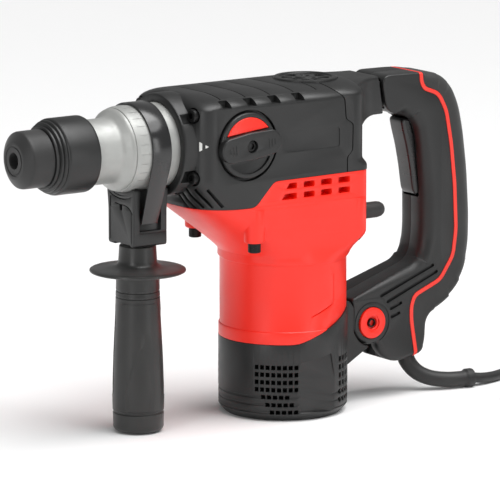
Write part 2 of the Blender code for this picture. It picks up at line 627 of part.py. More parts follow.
def make_selector():
    centre = (SELECTOR_X, 0.0, SELECTOR_Z)
    disc = [(-47.2, 0.0), (-47.2, 22.5), (-46.4, 23.8), (-42.2, 24.4), (-42.2, 5.4), (-30.0, 5.4), (-30.0, 0.0)]
    body = turned("selector_knob", disc, "black_plastic", axis="Y", centre=centre, sides=32)
    bar = prism("selector_bar", arc(17.0, 0.0, 9.6, -90.0, 90.0, 8) + arc(-17.0, 0.0, 9.6, 90.0, 270.0, 8),
                -52.0, -45.0)
    bar.location = Vector(centre) * MM
    bar.rotation_euler = (0.0, math.radians(-6.0), 0.0)
    join(body, bevelled(bar, 1.4))
    cut(body, rod("selector_screw_seat", -60.0, -47.0, 4.6, axis="Y", centre=centre, sides=16))
    screw = [(-50.4, 0.0), (-50.4, 4.2), (-47.3, 4.2), (-47.3, 0.0)]
    body = turned("selector_screw", screw, "black_steel", axis="Y", centre=centre, sides=16)
    cut(body, rod("selector_hex", -60.0, -48.8, 2.2, axis="Y", centre=centre, sides=6))


# ---------------------------------------------------------------- rear handle

# Side outline of the D-handle, clockwise from the top front: x, z and the rounding of its edge
HANDLE_OUTLINE = (
    [(76.9, 247.5, 1.5), (112.0, 247.3, 4.0), (126.0, 246.0, 7.0), (139.5, 241.6, 11.0), (149.0, 232.5, 11.0),
     (155.3, 219.0, 11.0), (159.6, 200.0, 11.0), (163.6, 170.0, 11.0), (166.0, 134.0, 11.0),
     (165.6, 110.0, 11.0), (161.2, 90.0, 11.0), (151.5, 75.6, 10.0), (138.0, 66.0, 7.0), (122.4, 59.5, 5.0),
     (120.8, 41.0, 5.0), (117.0, 29.0, 4.0), (106.0, 24.8, 4.0), (94.0, 27.0, 4.0), (84.5, 37.0, 4.0)]
    + [(x, z, 4.0) for x, z in arc(PIVOT_X, PIVOT_Z, 17.0, -50.0, -150.0, 6)]
    + [(52.0, 58.0, 2.0), (52.0, 74.0, 2.0), (50.0, 80.0, 2.0), (111.0, 101.0, 5.0), (117.0, 109.0, 6.0),
       (119.0, 124.0, 6.0), (118.0, 149.5, 5.0), (121.0, 153.5, 4.0), (114.0, 205.0, 4.0),
       (104.0, 215.6, 4.0), (82.0, 218.7, 1.5)]
)
TRIM_LINE = [(113.0, 252.0), (114.5, 235.0), (130.5, 229.5), (138.0, 215.0), (142.5, 190.0), (146.0, 159.0),
             (147.6, 124.0), (145.0, 104.0), (133.0, 86.5), (107.0, 76.0), (105.6, 60.0), (110.5, 31.0),
             (112.0, 18.0)]
REAR_ZONE = [(230.0, 18.0), (230.0, 280.0), (113.0, 280.0)]


def offset_line(points, distance):
    """The polyline moved sideways, to its left for a positive distance."""
    moved = []
    for index, point in enumerate(points):
        before = points[max(index - 1, 0)]
        after = points[min(index + 1, len(points) - 1)]
        along = Vector((after[0] - before[0], after[1] - before[1])).normalized()
        moved.append((point[0] - along.y * distance, point[1] + along.x * distance))
    return moved


def inset_outline(points, distance, share=0.0):
    """A clockwise outline of (x, z, rounding) moved in by a distance and a share of its rounding."""
    moved = []
    count = len(points)
    for index, (x, z, rounding) in enumerate(points):
        before, after = points[index - 1], points[(index + 1) % count]
        first = Vector((x - before[0], z - before[1])).normalized()
        second = Vector((after[0] - x, after[1] - z)).normalized()
        along = (first + second).normalized()
        reach = (distance + share * rounding) / max(along.dot(first), 0.5)
        moved.append((x + along.y * reach, z - along.x * reach, max(rounding - distance, 0.6)))
    return moved


def rounded_plate(name, outline, half, finish=None):
    """Plate across Y whose side edges are rounded by the outline's own radii."""
    bm = bmesh.new()
    loops = []
    for side, part, share in ((-1.0, 0.0, 1.0), (-1.0, 0.293, 0.293), (-1.0, 1.0, 0.0),
                              (1.0, 1.0, 0.0), (1.0, 0.293, 0.293), (1.0, 0.0, 1.0)):
        loop = []
        for (x, z, _), (_, _, rounding) in zip(inset_outline(outline, 0.0, share), outline):
            loop.append(bm.verts.new((x, side * (half - part * rounding), z)))
        loops.append(loop)
    for near, far in zip(loops, loops[1:]):
        for index in range(len(near)):
            after = (index + 1) % len(near)
            bm.faces.new((near[index], near[after], far[after], far[index]))
    bm.faces.new(list(reversed(loops[0])))
    bm.faces.new(loops[-1])
    return make_object(name, bm, finish)


def make_handle_shells():
    front_zone = offset_line(TRIM_LINE, -1.8)
    for name, side in (("handle_left_shell", -1.0), ("handle_right_shell", 1.0)):
        body = rounded_plate(name, HANDLE_OUTLINE, HANDLE_HALF, "black_plastic")
        low, high = sorted((-side * 30.0, side * GAP / 2.0))
        cut(body, block(name + "_other_half", (30.0, low, 0.0), (200.0, high, 280.0)))
        skin_zone = prism(name + "_skin_zone", front_zone + REAR_ZONE, -30.0, 30.0)
        cut(skin_zone, rounded_plate(name + "_core", inset_outline(HANDLE_OUTLINE, 3.6), 15.0))
        cut(body, skin_zone)
        cut(body, block(name + "_switch_space", (122.0, -13.0, 118.0), (150.0, 13.0, 212.0)))
        cut(body, block(name + "_trigger_slot", (95.0, -9.5, 150.0), (140.0, 9.5, 212.8)))
        cut(body, prism(name + "_fork", [(30.0, 30.0), (86.0, 30.0), (86.0, 76.4), (30.0, 76.4)], -10.0, 10.0))
        cut(body, block(name + "_mouth", (60.0, -15.3, 221.3), (92.0, 15.3, 244.5)))
        cut(body, rod(name + "_pivot", -30.0, 30.0, 5.4, axis="Y", centre=(PIVOT_X, 0.0, PIVOT_Z), sides=20))
        cap_low, cap_high = sorted((side * 16.6, side * 30.0))
        cut(body, rod(name + "_cap_seat", cap_low, cap_high, 12.3, axis="Y",
                      centre=(PIVOT_X, 0.0, PIVOT_Z), sides=24))
        cut(body, tapered_tube(name + "_outlet", [(113.0, 0.0, 44.0), (113.6, -1.0, 20.0)], [8.4, 8.4]))
    # The grip cover wraps the rear of the shells as one soft moulding
    back_zone = offset_line(TRIM_LINE, 1.8)
    cover = rounded_plate("handle_grip_cover", HANDLE_OUTLINE, HANDLE_HALF, "black_rubber")
    cut(cover, prism("cover_front", [(0.0, 18.0)] + list(reversed(back_zone)) + [(0.0, 280.0)], -40.0, 40.0))
    cut(cover, rounded_plate("cover_core", inset_outline(HANDLE_OUTLINE, 3.3), 15.3))
    cut(cover, tapered_tube("cover_outlet", [(113.0, 0.0, 44.0), (113.6, -1.0, 20.0)], [8.4, 8.4]))


def make_handle_trim():
    """Red edging that runs down both sides and joins across the top."""
    band = offset_line(TRIM_LINE, -1.5) + list(reversed(offset_line(TRIM_LINE, 1.5)))
    body = rounded_plate("handle_trim", HANDLE_OUTLINE, HANDLE_HALF + 0.4, "red_plastic")
    boolean(body, prism("trim_zone", band, -40.0, 40.0), "INTERSECT")
    cut(body, rounded_plate("trim_core", inset_outline(HANDLE_OUTLINE, 3.3), 15.4))
    cut(body, block("trim_outlet", (95.0, -15.4, 15.0), (130.0, 15.4, 34.0)))
    return body


def make_pivot():
    centre = (PIVOT_X, 0.0, PIVOT_Z)
    rod("pivot_bolt", -15.8, 15.8, 5.0, "steel", axis="Y", centre=centre, sides=20)
    for name, side in (("pivot_cap_left", -1.0), ("pivot_cap_right", 1.0)):
        inner, outer = side * 16.9, side * 20.6
        profile = [(inner, 0.0), (inner, 11.8), (outer, 11.8), (outer, 6.4), (side * 19.4, 6.4),
                   (side * 19.4, 4.2), (side * 18.2, 4.2), (side * 18.2, 0.0)]
        turned(name, profile, "red_plastic", axis="Y", centre=centre, sides=28)


def make_trigger_group():
    outline = [(103.0, 211.6), (104.6, 203.0), (108.2, 190.0), (111.4, 174.0), (113.8, 160.0), (114.8, 154.6),
               (117.0, 151.2), (126.0, 153.0), (124.0, 212.0)]
    bevelled(prism("trigger", outline, -8.8, 8.8, "black_plastic"), 1.6)
    bevelled(block("switch_body", (136.0, -11.0, 160.0), (148.0, 11.0, 198.0), "black_plastic"), 0.6, 1)


def make_damper():
    boot = block("damper_boot", (69.0, -14.8, 221.8), (91.6, 14.8, 244.0), "black_rubber")
    cut(boot, block("boot_passage", (60.0, -12.0, 224.6), (100.0, 12.0, 241.2)))
    coil_spring("damper_spring", 70.2, 90.4, 6.0, 1.8, 4, "X", (0.0, 0.0, 232.9))
    return boot


# ---------------------------------------------------------------- side handle

def make_side_handle():
    strap_outer = arc(0.0, DRILL_Z, COLLAR_RADIUS + 1.9, -17.5, 197.5, 24)
    strap_inner = arc(0.0, DRILL_Z, COLLAR_RADIUS + 0.4, 197.5, -17.5, 24)
    outline = strap_outer + [(-15.9, 152.5), (-14.4, 152.5)] + strap_inner + [(14.4, 152.5), (15.9, 152.5)]
    prism("clamp_strap", outline, SIDE_HANDLE_X - 8.0, SIDE_HANDLE_X + 8.0, "black_steel", axis="X")
    cradle = arc(0.0, DRILL_Z, COLLAR_RADIUS + 0.4, -122.0, -58.0, 10)
    section = [(-17.0, 140.0), (17.0, 140.0), (17.0, 183.0)] + list(reversed(cradle)) + [(-17.0, 183.0)]
    body = prism("clamp_block", section, SIDE_HANDLE_X - 14.5, SIDE_HANDLE_X + 14.5, "black_plastic", axis="X")
    for side in (-1.0, 1.0):
        low, high = sorted((side * 13.6, side * 30.0))
        cut(body, block("strap_channel", (SIDE_HANDLE_X - 8.6, low, 151.6), (SIDE_HANDLE_X + 8.6, high, 200.0)))
    cut(body, rod("stud_hole", 130.0, 168.0, 5.3, centre=(SIDE_HANDLE_X, 0.0, 0.0), sides=16))
    rod("clamp_stud", 96.0, 167.0, 5.0, "steel", centre=(SIDE_HANDLE_X, 0.0, 0.0), sides=16)
    grip = [(1.0, 0.0), (1.0, 16.6), (3.0, 18.8), (24.0, 19.5), (34.0, 19.6), (60.0, 18.8),
            (90.0, 17.2), (118.0, 15.7),
            (118.6, 33.0), (119.4, 35.4), (121.0, 35.4), (122.4, 31.0), (124.2, 16.0), (125.6, 13.2),
            (139.3, 12.9), (139.3, 5.4), (92.0, 5.4), (92.0, 0.0)]
    turned("side_grip", grip, "black_rubber", centre=(SIDE_HANDLE_X, 0.0, 0.0), sides=28)


# ---------------------------------------------------------------- cord

SLEEVE_ROUTE = [(113.0, 0.0, 40.0), (113.3, -0.4, 30.0), (115.2, -2.6, 21.5), (120.5, -7.0, 14.0),
                (129.0, -12.0, 9.4), (140.5, -16.5, 7.3), (152.0, -19.0, 6.8), (163.0, -20.2, 6.8)]
CORD_ROUTE = [(163.9, -20.3, 6.6), (172.0, -20.4, 5.4), (184.0, -18.0, 4.3), (198.0, -13.2, 4.0),
              (215.0, -5.4, 4.0), (230.0, 2.5, 4.0)]
PLUG_Y = -84.0
TAIL_ROUTE = [(249.2, PLUG_Y, 26.5), (240.0, PLUG_Y, 22.0), (230.0, PLUG_Y, 17.0)]


def make_cord():
    path = smooth_path(SLEEVE_ROUTE, 8.0)
    count = len(path)
    radii = [6.6 - 1.4 * math.sin(math.pi * index / (count - 1)) for index in range(count)]
    tapered_tube("cord_sleeve", path, radii, "black_rubber", sides=14)
    curve = bpy.data.curves.new("cord", "CURVE")
    curve.dimensions = "3D"
    curve.bevel_depth = CORD_RADIUS * MM
    curve.bevel_resolution = 3
    curve.use_fill_caps = True
    route = smooth_path(CORD_ROUTE, 2.0 * CORD_RADIUS + 4.0)
    spline = curve.splines.new("POLY")
    spline.points.add(len(route) - 1)
    for point, place in zip(spline.points, route):
        point.co = (*(place * MM), 1.0)
    cord = bpy.data.objects.new("cord", curve)
    bpy.context.collection.objects.link(cord)
    curve.materials.append(finish_material("black_rubber"))
    ring("cord_coil", 0.0, COIL_HEIGHT, COIL_INNER, COIL_OUTER, "black_rubber",
         centre=(COIL_X, COIL_Y, 0.0), sides=40)
    path = smooth_path(TAIL_ROUTE, 8.0) + [Vector((222.0, PLUG_Y, 14.5)), Vector((206.0, PLUG_Y, 13.4))]
    radii = [CORD_RADIUS] * (len(path) - 2) + [4.6, 6.6]
    plug = tapered_tube("plug", path, radii, "black_rubber", sides=12)
    outline = [(207.0, -5.0), (203.0, -12.0), (194.0, -17.2), (182.0, -17.6), (172.0, -17.6), (172.0, 17.6),
               (182.0, 17.6), (194.0, 17.2), (203.0, 12.0), (207.0, 5.0)]
    grip = prism("plug_body", [(x, y + PLUG_Y) for x, y in outline], 0.3, 26.3, axis="Z")
    join(plug, bevelled(grip, 3.0))
    for number, side in enumerate((-1.0, 1.0)):
        join(plug, rod(f"plug_pin_{number}", 153.0, 174.0, 2.4, axis="X",
                       centre=(0.0, PLUG_Y + side * 9.5, 13.3), sides=12))


def main():
    clear_scene()
    make_gear_housing()
    make_rear_cover()
    make_motor_housing()
    make_motor_end_cap()
    make_nose_casting()
    make_grease_cap()
    make_gear_plate()
    make_fasteners()
    make_rear_buffer()
    make_motor()
    make_crank()
    make_layshaft()
    make_spindle_gear()
    make_chuck_and_hammer()
    make_selector()
    make_handle_shells()
    make_handle_trim()
    make_pivot()
    make_trigger_group()
    make_damper()
    make_side_handle()
    make_cord()


main()
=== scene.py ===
"""Looks of a rotary hammer: moulded housings, chuck, side handle, damped loop handle and cord.

Sizes are in millimetres and become metres when a mesh is made. X runs along the drill
axis with the chuck at -X, the selector knob is on the -Y side and +Z is up.
"""
import logging
import math
from dataclasses import dataclass, field
from enum import Enum
from typing import Sequence

import bpy
from mathutils import Matrix, Vector


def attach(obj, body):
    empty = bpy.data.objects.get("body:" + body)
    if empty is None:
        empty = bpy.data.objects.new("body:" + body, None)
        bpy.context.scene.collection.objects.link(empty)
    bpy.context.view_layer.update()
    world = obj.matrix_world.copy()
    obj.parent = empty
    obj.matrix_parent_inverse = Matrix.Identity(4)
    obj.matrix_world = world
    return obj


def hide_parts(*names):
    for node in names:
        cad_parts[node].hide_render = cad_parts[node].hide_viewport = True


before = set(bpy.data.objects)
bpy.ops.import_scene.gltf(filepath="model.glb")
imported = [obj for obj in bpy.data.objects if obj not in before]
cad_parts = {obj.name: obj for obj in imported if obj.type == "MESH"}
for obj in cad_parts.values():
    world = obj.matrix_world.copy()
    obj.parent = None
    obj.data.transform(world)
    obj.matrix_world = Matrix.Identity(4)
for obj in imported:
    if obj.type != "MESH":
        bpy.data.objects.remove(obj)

LOG = logging.getLogger("rotary_hammer")
MM = 0.001
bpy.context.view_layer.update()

Point = tuple[float, float]
Corner = tuple[float, float, float]
Outline = Sequence[Sequence[float]]
Loop = list[Vector]
Piece = bpy.types.Object
Socket = bpy.types.NodeSocket

DRILL_Z = 211.0  # height of the drill axis
DRILL_AXIS: Corner = (0.0, 0.0, DRILL_Z)
PIVOT: Point = (68.8, 60.3)  # the rear handle's lower pivot, in x and z
CAP_AXIS: Corner = (20.0, 0.0, 0.0)  # the round cap on the roof
BEYOND = 80.0  # past the tool on either side, for cutters that go right through
SMOOTH_UNDER = 32.0  # degrees between faces that are shaded as one surface


class Axis(Enum):
    """The axis that a piece is turned round or drawn out along."""

    X = (1.0, 0.0, 0.0)
    Y = (0.0, 1.0, 0.0)
    Z = (0.0, 0.0, 1.0)


class Joinery(Enum):
    """How one solid is combined with another."""

    CUT = "DIFFERENCE"
    WELD = "UNION"
    TRIM = "INTERSECT"


class Body(Enum):
    """The moving bodies that pieces ride on."""

    HOUSING = "housing"
    SPINDLE = "spindle"
    SLEEVE = "sleeve"
    SELECTOR = "selector"
    REAR_HANDLE = "rear_handle"
    TRIGGER = "trigger"
    SIDE_CLAMP = "side_clamp"
    SIDE_GRIP = "side_grip"


# ---------------------------------------------------------------- finishes


class Nodes:
    """A short hand for wiring a material's nodes."""

    def __init__(self, name: str) -> None:
        """Start a material with only its shader and output."""
        self.material = bpy.data.materials.new(name)
        self.material.use_nodes = True
        self.tree = self.material.node_tree
        self.shader = self.tree.nodes["Principled BSDF"]
        self.place = self.tree.nodes.new("ShaderNodeTexCoord").outputs["Object"]

    def add(self, kind: str, inputs: dict[str, object] | None = None, **settings: object) -> bpy.types.Node:
        """Add a node, set its properties and fill or link its inputs.

        Args:
            kind: the node's Blender type.
            inputs: socket name to a value or to the output that feeds it.
            settings: properties of the node itself.
        Returns:
            The new node.
        """
        node = self.tree.nodes.new(kind)
        for key, value in settings.items():
            setattr(node, key, value)
        for key, value in (inputs or {}).items():
            self.feed(node, key, value)
        return node

    def feed(self, node: bpy.types.Node, key: str, value: object) -> None:
        """Set a socket to a value, or link an output into it."""
        if isinstance(value, Socket):
            self.tree.links.new(value, node.inputs[key])
        else:
            node.inputs[key].default_value = value

    def stretched(self, scale: Corner) -> Socket:
        """Object coordinates stretched along the axes."""
        return self.add("ShaderNodeMapping", {"Vector": self.place, "Scale": scale}).outputs["Vector"]

    def noise(self, scale: float, detail: float = 2.0,
              place: Socket | None = None) -> Socket:
        """Noise of a scale per metre, as one number."""
        node = self.add("ShaderNodeTexNoise", {"Vector": place or self.place, "Scale": scale, "Detail": detail})
        return node.outputs["Fac"]

    def ranged(self, value: Socket, low: float, high: float, start: float = 0.3,
               end: float = 0.7) -> Socket:
        """A number stretched from start..end to low..high."""
        node = self.add("ShaderNodeMapRange", {"Value": value, "From Min": start, "From Max": end,
                                               "To Min": low, "To Max": high})
        return node.outputs["Result"]

    def shades(self, factor: Socket, dark: Sequence[float],
               light: Sequence[float]) -> Socket:
        """A colour between two others."""
        node = self.add("ShaderNodeMix", {"Factor": factor}, data_type="RGBA")
        node.inputs[6].default_value = (*dark, 1.0)
        node.inputs[7].default_value = (*light, 1.0)
        return node.outputs[2]

    def raised(self, height: Socket, depth: float, strength: float = 1.0,
               under: Socket | None = None) -> Socket:
        """A bump of a depth in metres, over another bump if there is one."""
        inputs: dict[str, object] = {"Height": height, "Distance": depth, "Strength": strength}
        if under is not None:
            inputs["Normal"] = under
        return self.add("ShaderNodeBump", inputs).outputs["Normal"]


def tinted(colour: Sequence[float], factor: float) -> Corner:
    """A colour made lighter or darker."""
    return tuple(min(1.0, channel * factor) for channel in colour)


@dataclass(frozen=True)
class Finish:
    """What every finish has: a name, a base colour and how it shines."""

    name: str
    slot: str
    colour: Corner
    roughness: float = 0.5
    metallic: float = 0.0

    def start(self) -> Nodes:
        """Begin the material with its plain values."""
        nodes = Nodes(self.name)
        nodes.shader.inputs["Base Color"].default_value = (*self.colour, 1.0)
        nodes.shader.inputs["Roughness"].default_value = self.roughness
        nodes.shader.inputs["Metallic"].default_value = self.metallic
        return nodes

    def build(self) -> bpy.types.Material:
        """Make the material, or give back the one that is made already."""
        made = bpy.data.materials.get(self.name)
        return made if made is not None else self.wire(self.start())

    def wire(self, nodes: Nodes) -> bpy.types.Material:
        """Add the finish's own detail."""
        return nodes.material


@dataclass(frozen=True)
class MouldedPlastic(Finish):
    """Plastic with a spark-eroded grain, faint flow marks and handling shine."""

    grain: float = 1500.0
    grain_depth: float = 0.00008
    mottle: float = 0.10
    coat: float = 0.0

    def wire(self, nodes: Nodes) -> bpy.types.Material:
        """Grain as bump, flow marks in colour, handled patches in roughness."""
        flow = nodes.noise(14.0, 4.0)
        nodes.feed(nodes.shader, "Base Color", nodes.shades(
            nodes.ranged(flow, 0.0, 1.0), tinted(self.colour, 1.0 - self.mottle),
            tinted(self.colour, 1.0 + self.mottle)))
        handled = nodes.noise(38.0, 6.0)
        nodes.feed(nodes.shader, "Roughness", nodes.ranged(
            handled, self.roughness - 0.07, self.roughness + 0.07))
        grain = nodes.raised(nodes.noise(self.grain, 2.0), self.grain_depth, 0.8)
        scuffs = nodes.noise(1.0, 3.0, nodes.stretched((90.0, 90.0, 700.0)))
        marks = nodes.ranged(scuffs, 0.0, 1.0, 0.68, 0.74)
        nodes.feed(nodes.shader, "Normal", nodes.raised(marks, 0.00002, 0.4, grain))
        nodes.shader.inputs["Specular IOR Level"].default_value = 0.5
        nodes.shader.inputs["Coat Weight"].default_value = self.coat
        nodes.shader.inputs["Coat Roughness"].default_value = 0.22
        return nodes.material


@dataclass(frozen=True)
class SoftRubber(Finish):
    """Soft-touch rubber with a fine matte skin and a trace of dust."""

    skin: float = 2200.0

    def wire(self, nodes: Nodes) -> bpy.types.Material:
        """Dust in colour, skin as bump, and a soft sheen."""
        dust = nodes.noise(30.0, 6.0)
        nodes.feed(nodes.shader, "Base Color", nodes.shades(
            nodes.ranged(dust, 0.0, 1.0, 0.42, 0.75), self.colour, tinted(self.colour, 1.35)))
        nodes.feed(nodes.shader, "Roughness", nodes.ranged(
            nodes.noise(55.0, 4.0), self.roughness - 0.08, self.roughness + 0.06))
        pores = nodes.raised(nodes.noise(self.skin, 1.0), 0.00006, 0.7)
        waves = nodes.noise(120.0, 3.0)
        nodes.feed(nodes.shader, "Normal", nodes.raised(waves, 0.00004, 0.5, pores))
        nodes.shader.inputs["Sheen Weight"].default_value = 0.12
        nodes.shader.inputs["Sheen Roughness"].default_value = 0.5
        return nodes.material


@dataclass(frozen=True)
class BlastedCasting(Finish):
    """Bead-blasted alloy casting: pale, matte, with faint clouding."""

    def wire(self, nodes: Nodes) -> bpy.types.Material:
        """Clouds in colour and roughness, blast pits as bump."""
        clouds = nodes.noise(60.0, 5.0)
        nodes.feed(nodes.shader, "Base Color", nodes.shades(
            nodes.ranged(clouds, 0.0, 1.0), tinted(self.colour, 0.9), tinted(self.colour, 1.06)))
        nodes.feed(nodes.shader, "Roughness", nodes.ranged(
            nodes.noise(220.0, 3.0), self.roughness - 0.07, self.roughness + 0.08))
        pits = nodes.raised(nodes.noise(1900.0, 2.0), 0.00006, 0.7)
        nodes.feed(nodes.shader, "Normal", nodes.raised(nodes.noise(260.0, 2.0), 0.00005, 0.4, pits))
        return nodes.material


@dataclass(frozen=True)
class GroundMetal(Finish):
    """Turned or ground metal with fine tool marks round or along its axis."""

    marks: Corner = (3000.0, 60.0, 60.0)
    depth: float = 0.000012

    def wire(self, nodes: Nodes) -> bpy.types.Material:
        """Tool marks as bump, and smears of oil in colour and roughness."""
        lines = nodes.noise(1.0, 3.0, nodes.stretched(self.marks))
        smears = nodes.noise(90.0, 4.0)
        nodes.feed(nodes.shader, "Base Color", nodes.shades(
            nodes.ranged(smears, 0.0, 1.0), tinted(self.colour, 0.82), self.colour))
        nodes.feed(nodes.shader, "Roughness", nodes.ranged(
            lines, self.roughness - 0.08, self.roughness + 0.12))
        nodes.feed(nodes.shader, "Normal", nodes.raised(lines, self.depth, 0.8))
        return nodes.material


@dataclass(frozen=True)
class BlackedSteel(Finish):
    """Steel strap or screw under a glossy black coat, with worn edges."""

    coat: float = 0.6

    def wire(self, nodes: Nodes) -> bpy.types.Material:
        """Orange peel as bump, wear and dust in colour and roughness."""
        wear = nodes.noise(260.0, 8.0)
        bare = nodes.ranged(wear, 0.0, 1.0, 0.72, 0.78)
        nodes.feed(nodes.shader, "Base Color", nodes.shades(bare, self.colour, (0.16, 0.16, 0.16)))
        nodes.feed(nodes.shader, "Roughness", nodes.ranged(
            nodes.noise(80.0, 5.0), self.roughness - 0.06, self.roughness + 0.1))
        nodes.feed(nodes.shader, "Normal", nodes.raised(nodes.noise(900.0, 1.0), 0.00002, 0.4))
        nodes.shader.inputs["Coat Weight"].default_value = self.coat
        nodes.shader.inputs["Coat Roughness"].default_value = 0.12
        return nodes.material


BLACK_SHELL = MouldedPlastic("black_shell", "black_plastic", (0.0105, 0.0108, 0.0108), 0.42)
RED_SHELL = MouldedPlastic("red_shell", "red_plastic", (0.95, 0.017, 0.004), 0.42, 0.0, 1100.0, 0.00003, 0.03, 0.08)
RED_TRIM = MouldedPlastic("red_trim", "red_plastic", (0.86, 0.036, 0.022), 0.45, 0.0, 1300.0, 0.00004, 0.04)
GLOSS_BLACK = MouldedPlastic("gloss_black", "black_plastic", (0.012, 0.012, 0.0125), 0.3, 0.0, 1400.0, 0.00003,
                             0.1, 0.2)
# Painted shade: a near-black lining for the walls that cutters open (vents, slots, holes, grooves, sockets), standing
# in for the shade inside them.
PAINTED_SHADE_LINING = MouldedPlastic("painted_shade_lining", "black_plastic", (0.002, 0.002, 0.002), 0.9)
SOFT_GRIP = SoftRubber("soft_grip", "black_rubber", (0.013, 0.013, 0.0126), 0.6)
HARD_GRIP = SoftRubber("hard_grip", "black_rubber", (0.013, 0.013, 0.0124), 0.38, 0.0, 1700.0)
CORD_JACKET = SoftRubber("cord_jacket", "black_rubber", (0.010, 0.010, 0.010), 0.5, 0.0, 1500.0)
DUST_RUBBER = SoftRubber("dust_rubber", "black_rubber", (0.011, 0.011, 0.011), 0.55)
CASTING = BlastedCasting("blasted_casting", "cast_alloy", (0.37, 0.375, 0.362), 0.44, 0.35)
TURNED_STEEL = GroundMetal("turned_steel", "steel", (0.42, 0.42, 0.43), 0.3, 1.0)
UPRIGHT_STEEL = GroundMetal("upright_steel", "steel", (0.40, 0.40, 0.41), 0.32, 1.0, (60.0, 60.0, 3000.0))
CORE_STEEL = GroundMetal("core_laminations", "steel", (0.30, 0.30, 0.31), 0.42, 0.9, (20.0, 20.0, 4200.0), 0.00004)
COPPER = GroundMetal("turned_copper", "copper", (0.66, 0.31, 0.17), 0.32, 1.0, (60.0, 60.0, 2600.0))
BLACK_SCREW = BlackedSteel("black_screw", "black_steel", (0.012, 0.012, 0.012), 0.36, 0.6, 0.1)
CARBON = MouldedPlastic("pressed_carbon", "carbon", (0.022, 0.022, 0.024), 0.6)
MARK_WHITE = MouldedPlastic("mark_white", "black_plastic", (0.62, 0.62, 0.60), 0.5)
BAND_BLACK = MouldedPlastic("band_black", "black_plastic", (0.012, 0.012, 0.0125), 0.22, 0.0, 1500.0, 0.00002, 0.1, 0.3)
FLOOR = MouldedPlastic("pale_floor", "floor", (0.92, 0.92, 0.92), 0.9, 0.0, 300.0, 0.00001, 0.0)


# ---------------------------------------------------------------- outlines


def placed(axis: Axis, along: float, across: float, up: float) -> Vector:
    """A point given along an axis and in the two directions across it."""
    if axis is Axis.X:
        return Vector((along, across, up))
    if axis is Axis.Y:
        return Vector((across, along, up))
    return Vector((across, up, along))


def arc(centre: Point, radius: float, start: float, end: float, steps: int) -> list[Point]:
    """Points on an arc in degrees, both ends included."""
    points = []
    for step in range(steps + 1):
        angle = math.radians(start + (end - start) * step / steps)
        points.append((centre[0] + radius * math.cos(angle), centre[1] + radius * math.sin(angle)))
    return points


def filleted(points: Outline, setback: float, steps: int = 5,
             closed: bool = True) -> list[tuple[float, ...]]:
    """Round an outline's corners.

    Args:
        points: corners, each x and z with any further numbers that its arc keeps.
        setback: how far from a corner its arc starts, at most 0.46 of the edge.
        steps: stretches in each arc.
        closed: whether the last point joins the first.
    Returns:
        The outline with arcs in place of corners.
    """
    count = len(points)
    made: list[tuple[float, ...]] = []
    for index, corner in enumerate(points):
        here = Vector(corner[:2])
        if not closed and index in (0, count - 1):
            made.append(tuple(corner))
            continue
        before = Vector(points[index - 1][:2])
        after = Vector(points[(index + 1) % count][:2])
        reach = min(setback, 0.46 * (before - here).length, 0.46 * (after - here).length)
        first = here + (before - here).normalized() * reach
        last = here + (after - here).normalized() * reach
        for step in range(steps + 1):
            t = step / steps
            spot = first * (1 - t) ** 2 + here * 2 * t * (1 - t) + last * t ** 2
            made.append((spot.x, spot.y, *corner[2:]))
    return made


def eased(points: Outline, setback: float, steps: int = 5, closed: bool = True) -> list[Point]:
    """The rounded outline as plain points."""
    return [point[:2] for point in filleted(points, setback, steps, closed)]


def inset(points: Outline, distances: Sequence[float]) -> list[Point]:
    """Move each point of a closed outline inwards by its own distance."""
    count = len(points)
    area = sum(points[i - 1][0] * points[i][1] - points[i][0] * points[i - 1][1] for i in range(count))
    turn = 1.0 if area > 0.0 else -1.0
    moved = []
    for index in range(count):
        here = Vector(points[index][:2])
        first = (here - Vector(points[index - 1][:2])).normalized()
        second = (Vector(points[(index + 1) % count][:2]) - here).normalized()
        along = (first + second).normalized()
        reach = turn * distances[index] / max(along.dot(first), 0.5)
        moved.append((here.x - along.y * reach, here.y + along.x * reach))
    return moved


def beside(points: Sequence[Point], distance: float) -> list[Point]:
    """An open line moved sideways, to its left for a positive distance."""
    moved = []
    for index, point in enumerate(points):
        before = points[max(index - 1, 0)]
        after = points[min(index + 1, len(points) - 1)]
        along = Vector((after[0] - before[0], after[1] - before[1])).normalized()
        moved.append((point[0] - along.y * distance, point[1] + along.x * distance))
    return moved


def plan(front: float, rear: float, half: float, front_corner: float, rear_corner: float,
         steps: int = 9) -> list[Point]:
    """Rounded rectangle in plan, with its own corner radius at the front and rear."""
    corners = ((rear, half, rear_corner, 0.0), (front, half, front_corner, 90.0),
               (front, -half, front_corner, 180.0), (rear, -half, rear_corner, 270.0))
    outline = []
    for x_end, y_end, radius, start in corners:
        middle_x = x_end - math.copysign(radius, x_end - (front + rear) / 2.0)
        middle_y = y_end - math.copysign(radius, y_end)
        outline += arc((middle_x, middle_y), radius, start, start + 90.0, steps)
    return outline


def span(side: float, near: float, far: float) -> list[float]:
    """From near to far on one side of the middle, lower end first."""
    return sorted((side * near, side * far))


def blended(start: float, end: float, part: float) -> float:
    """A value that leaves start and reaches end smoothly."""
    part = min(1.0, max(0.0, part))
    return start + (end - start) * part * part * (3.0 - 2.0 * part)


# ---------------------------------------------------------------- workbench


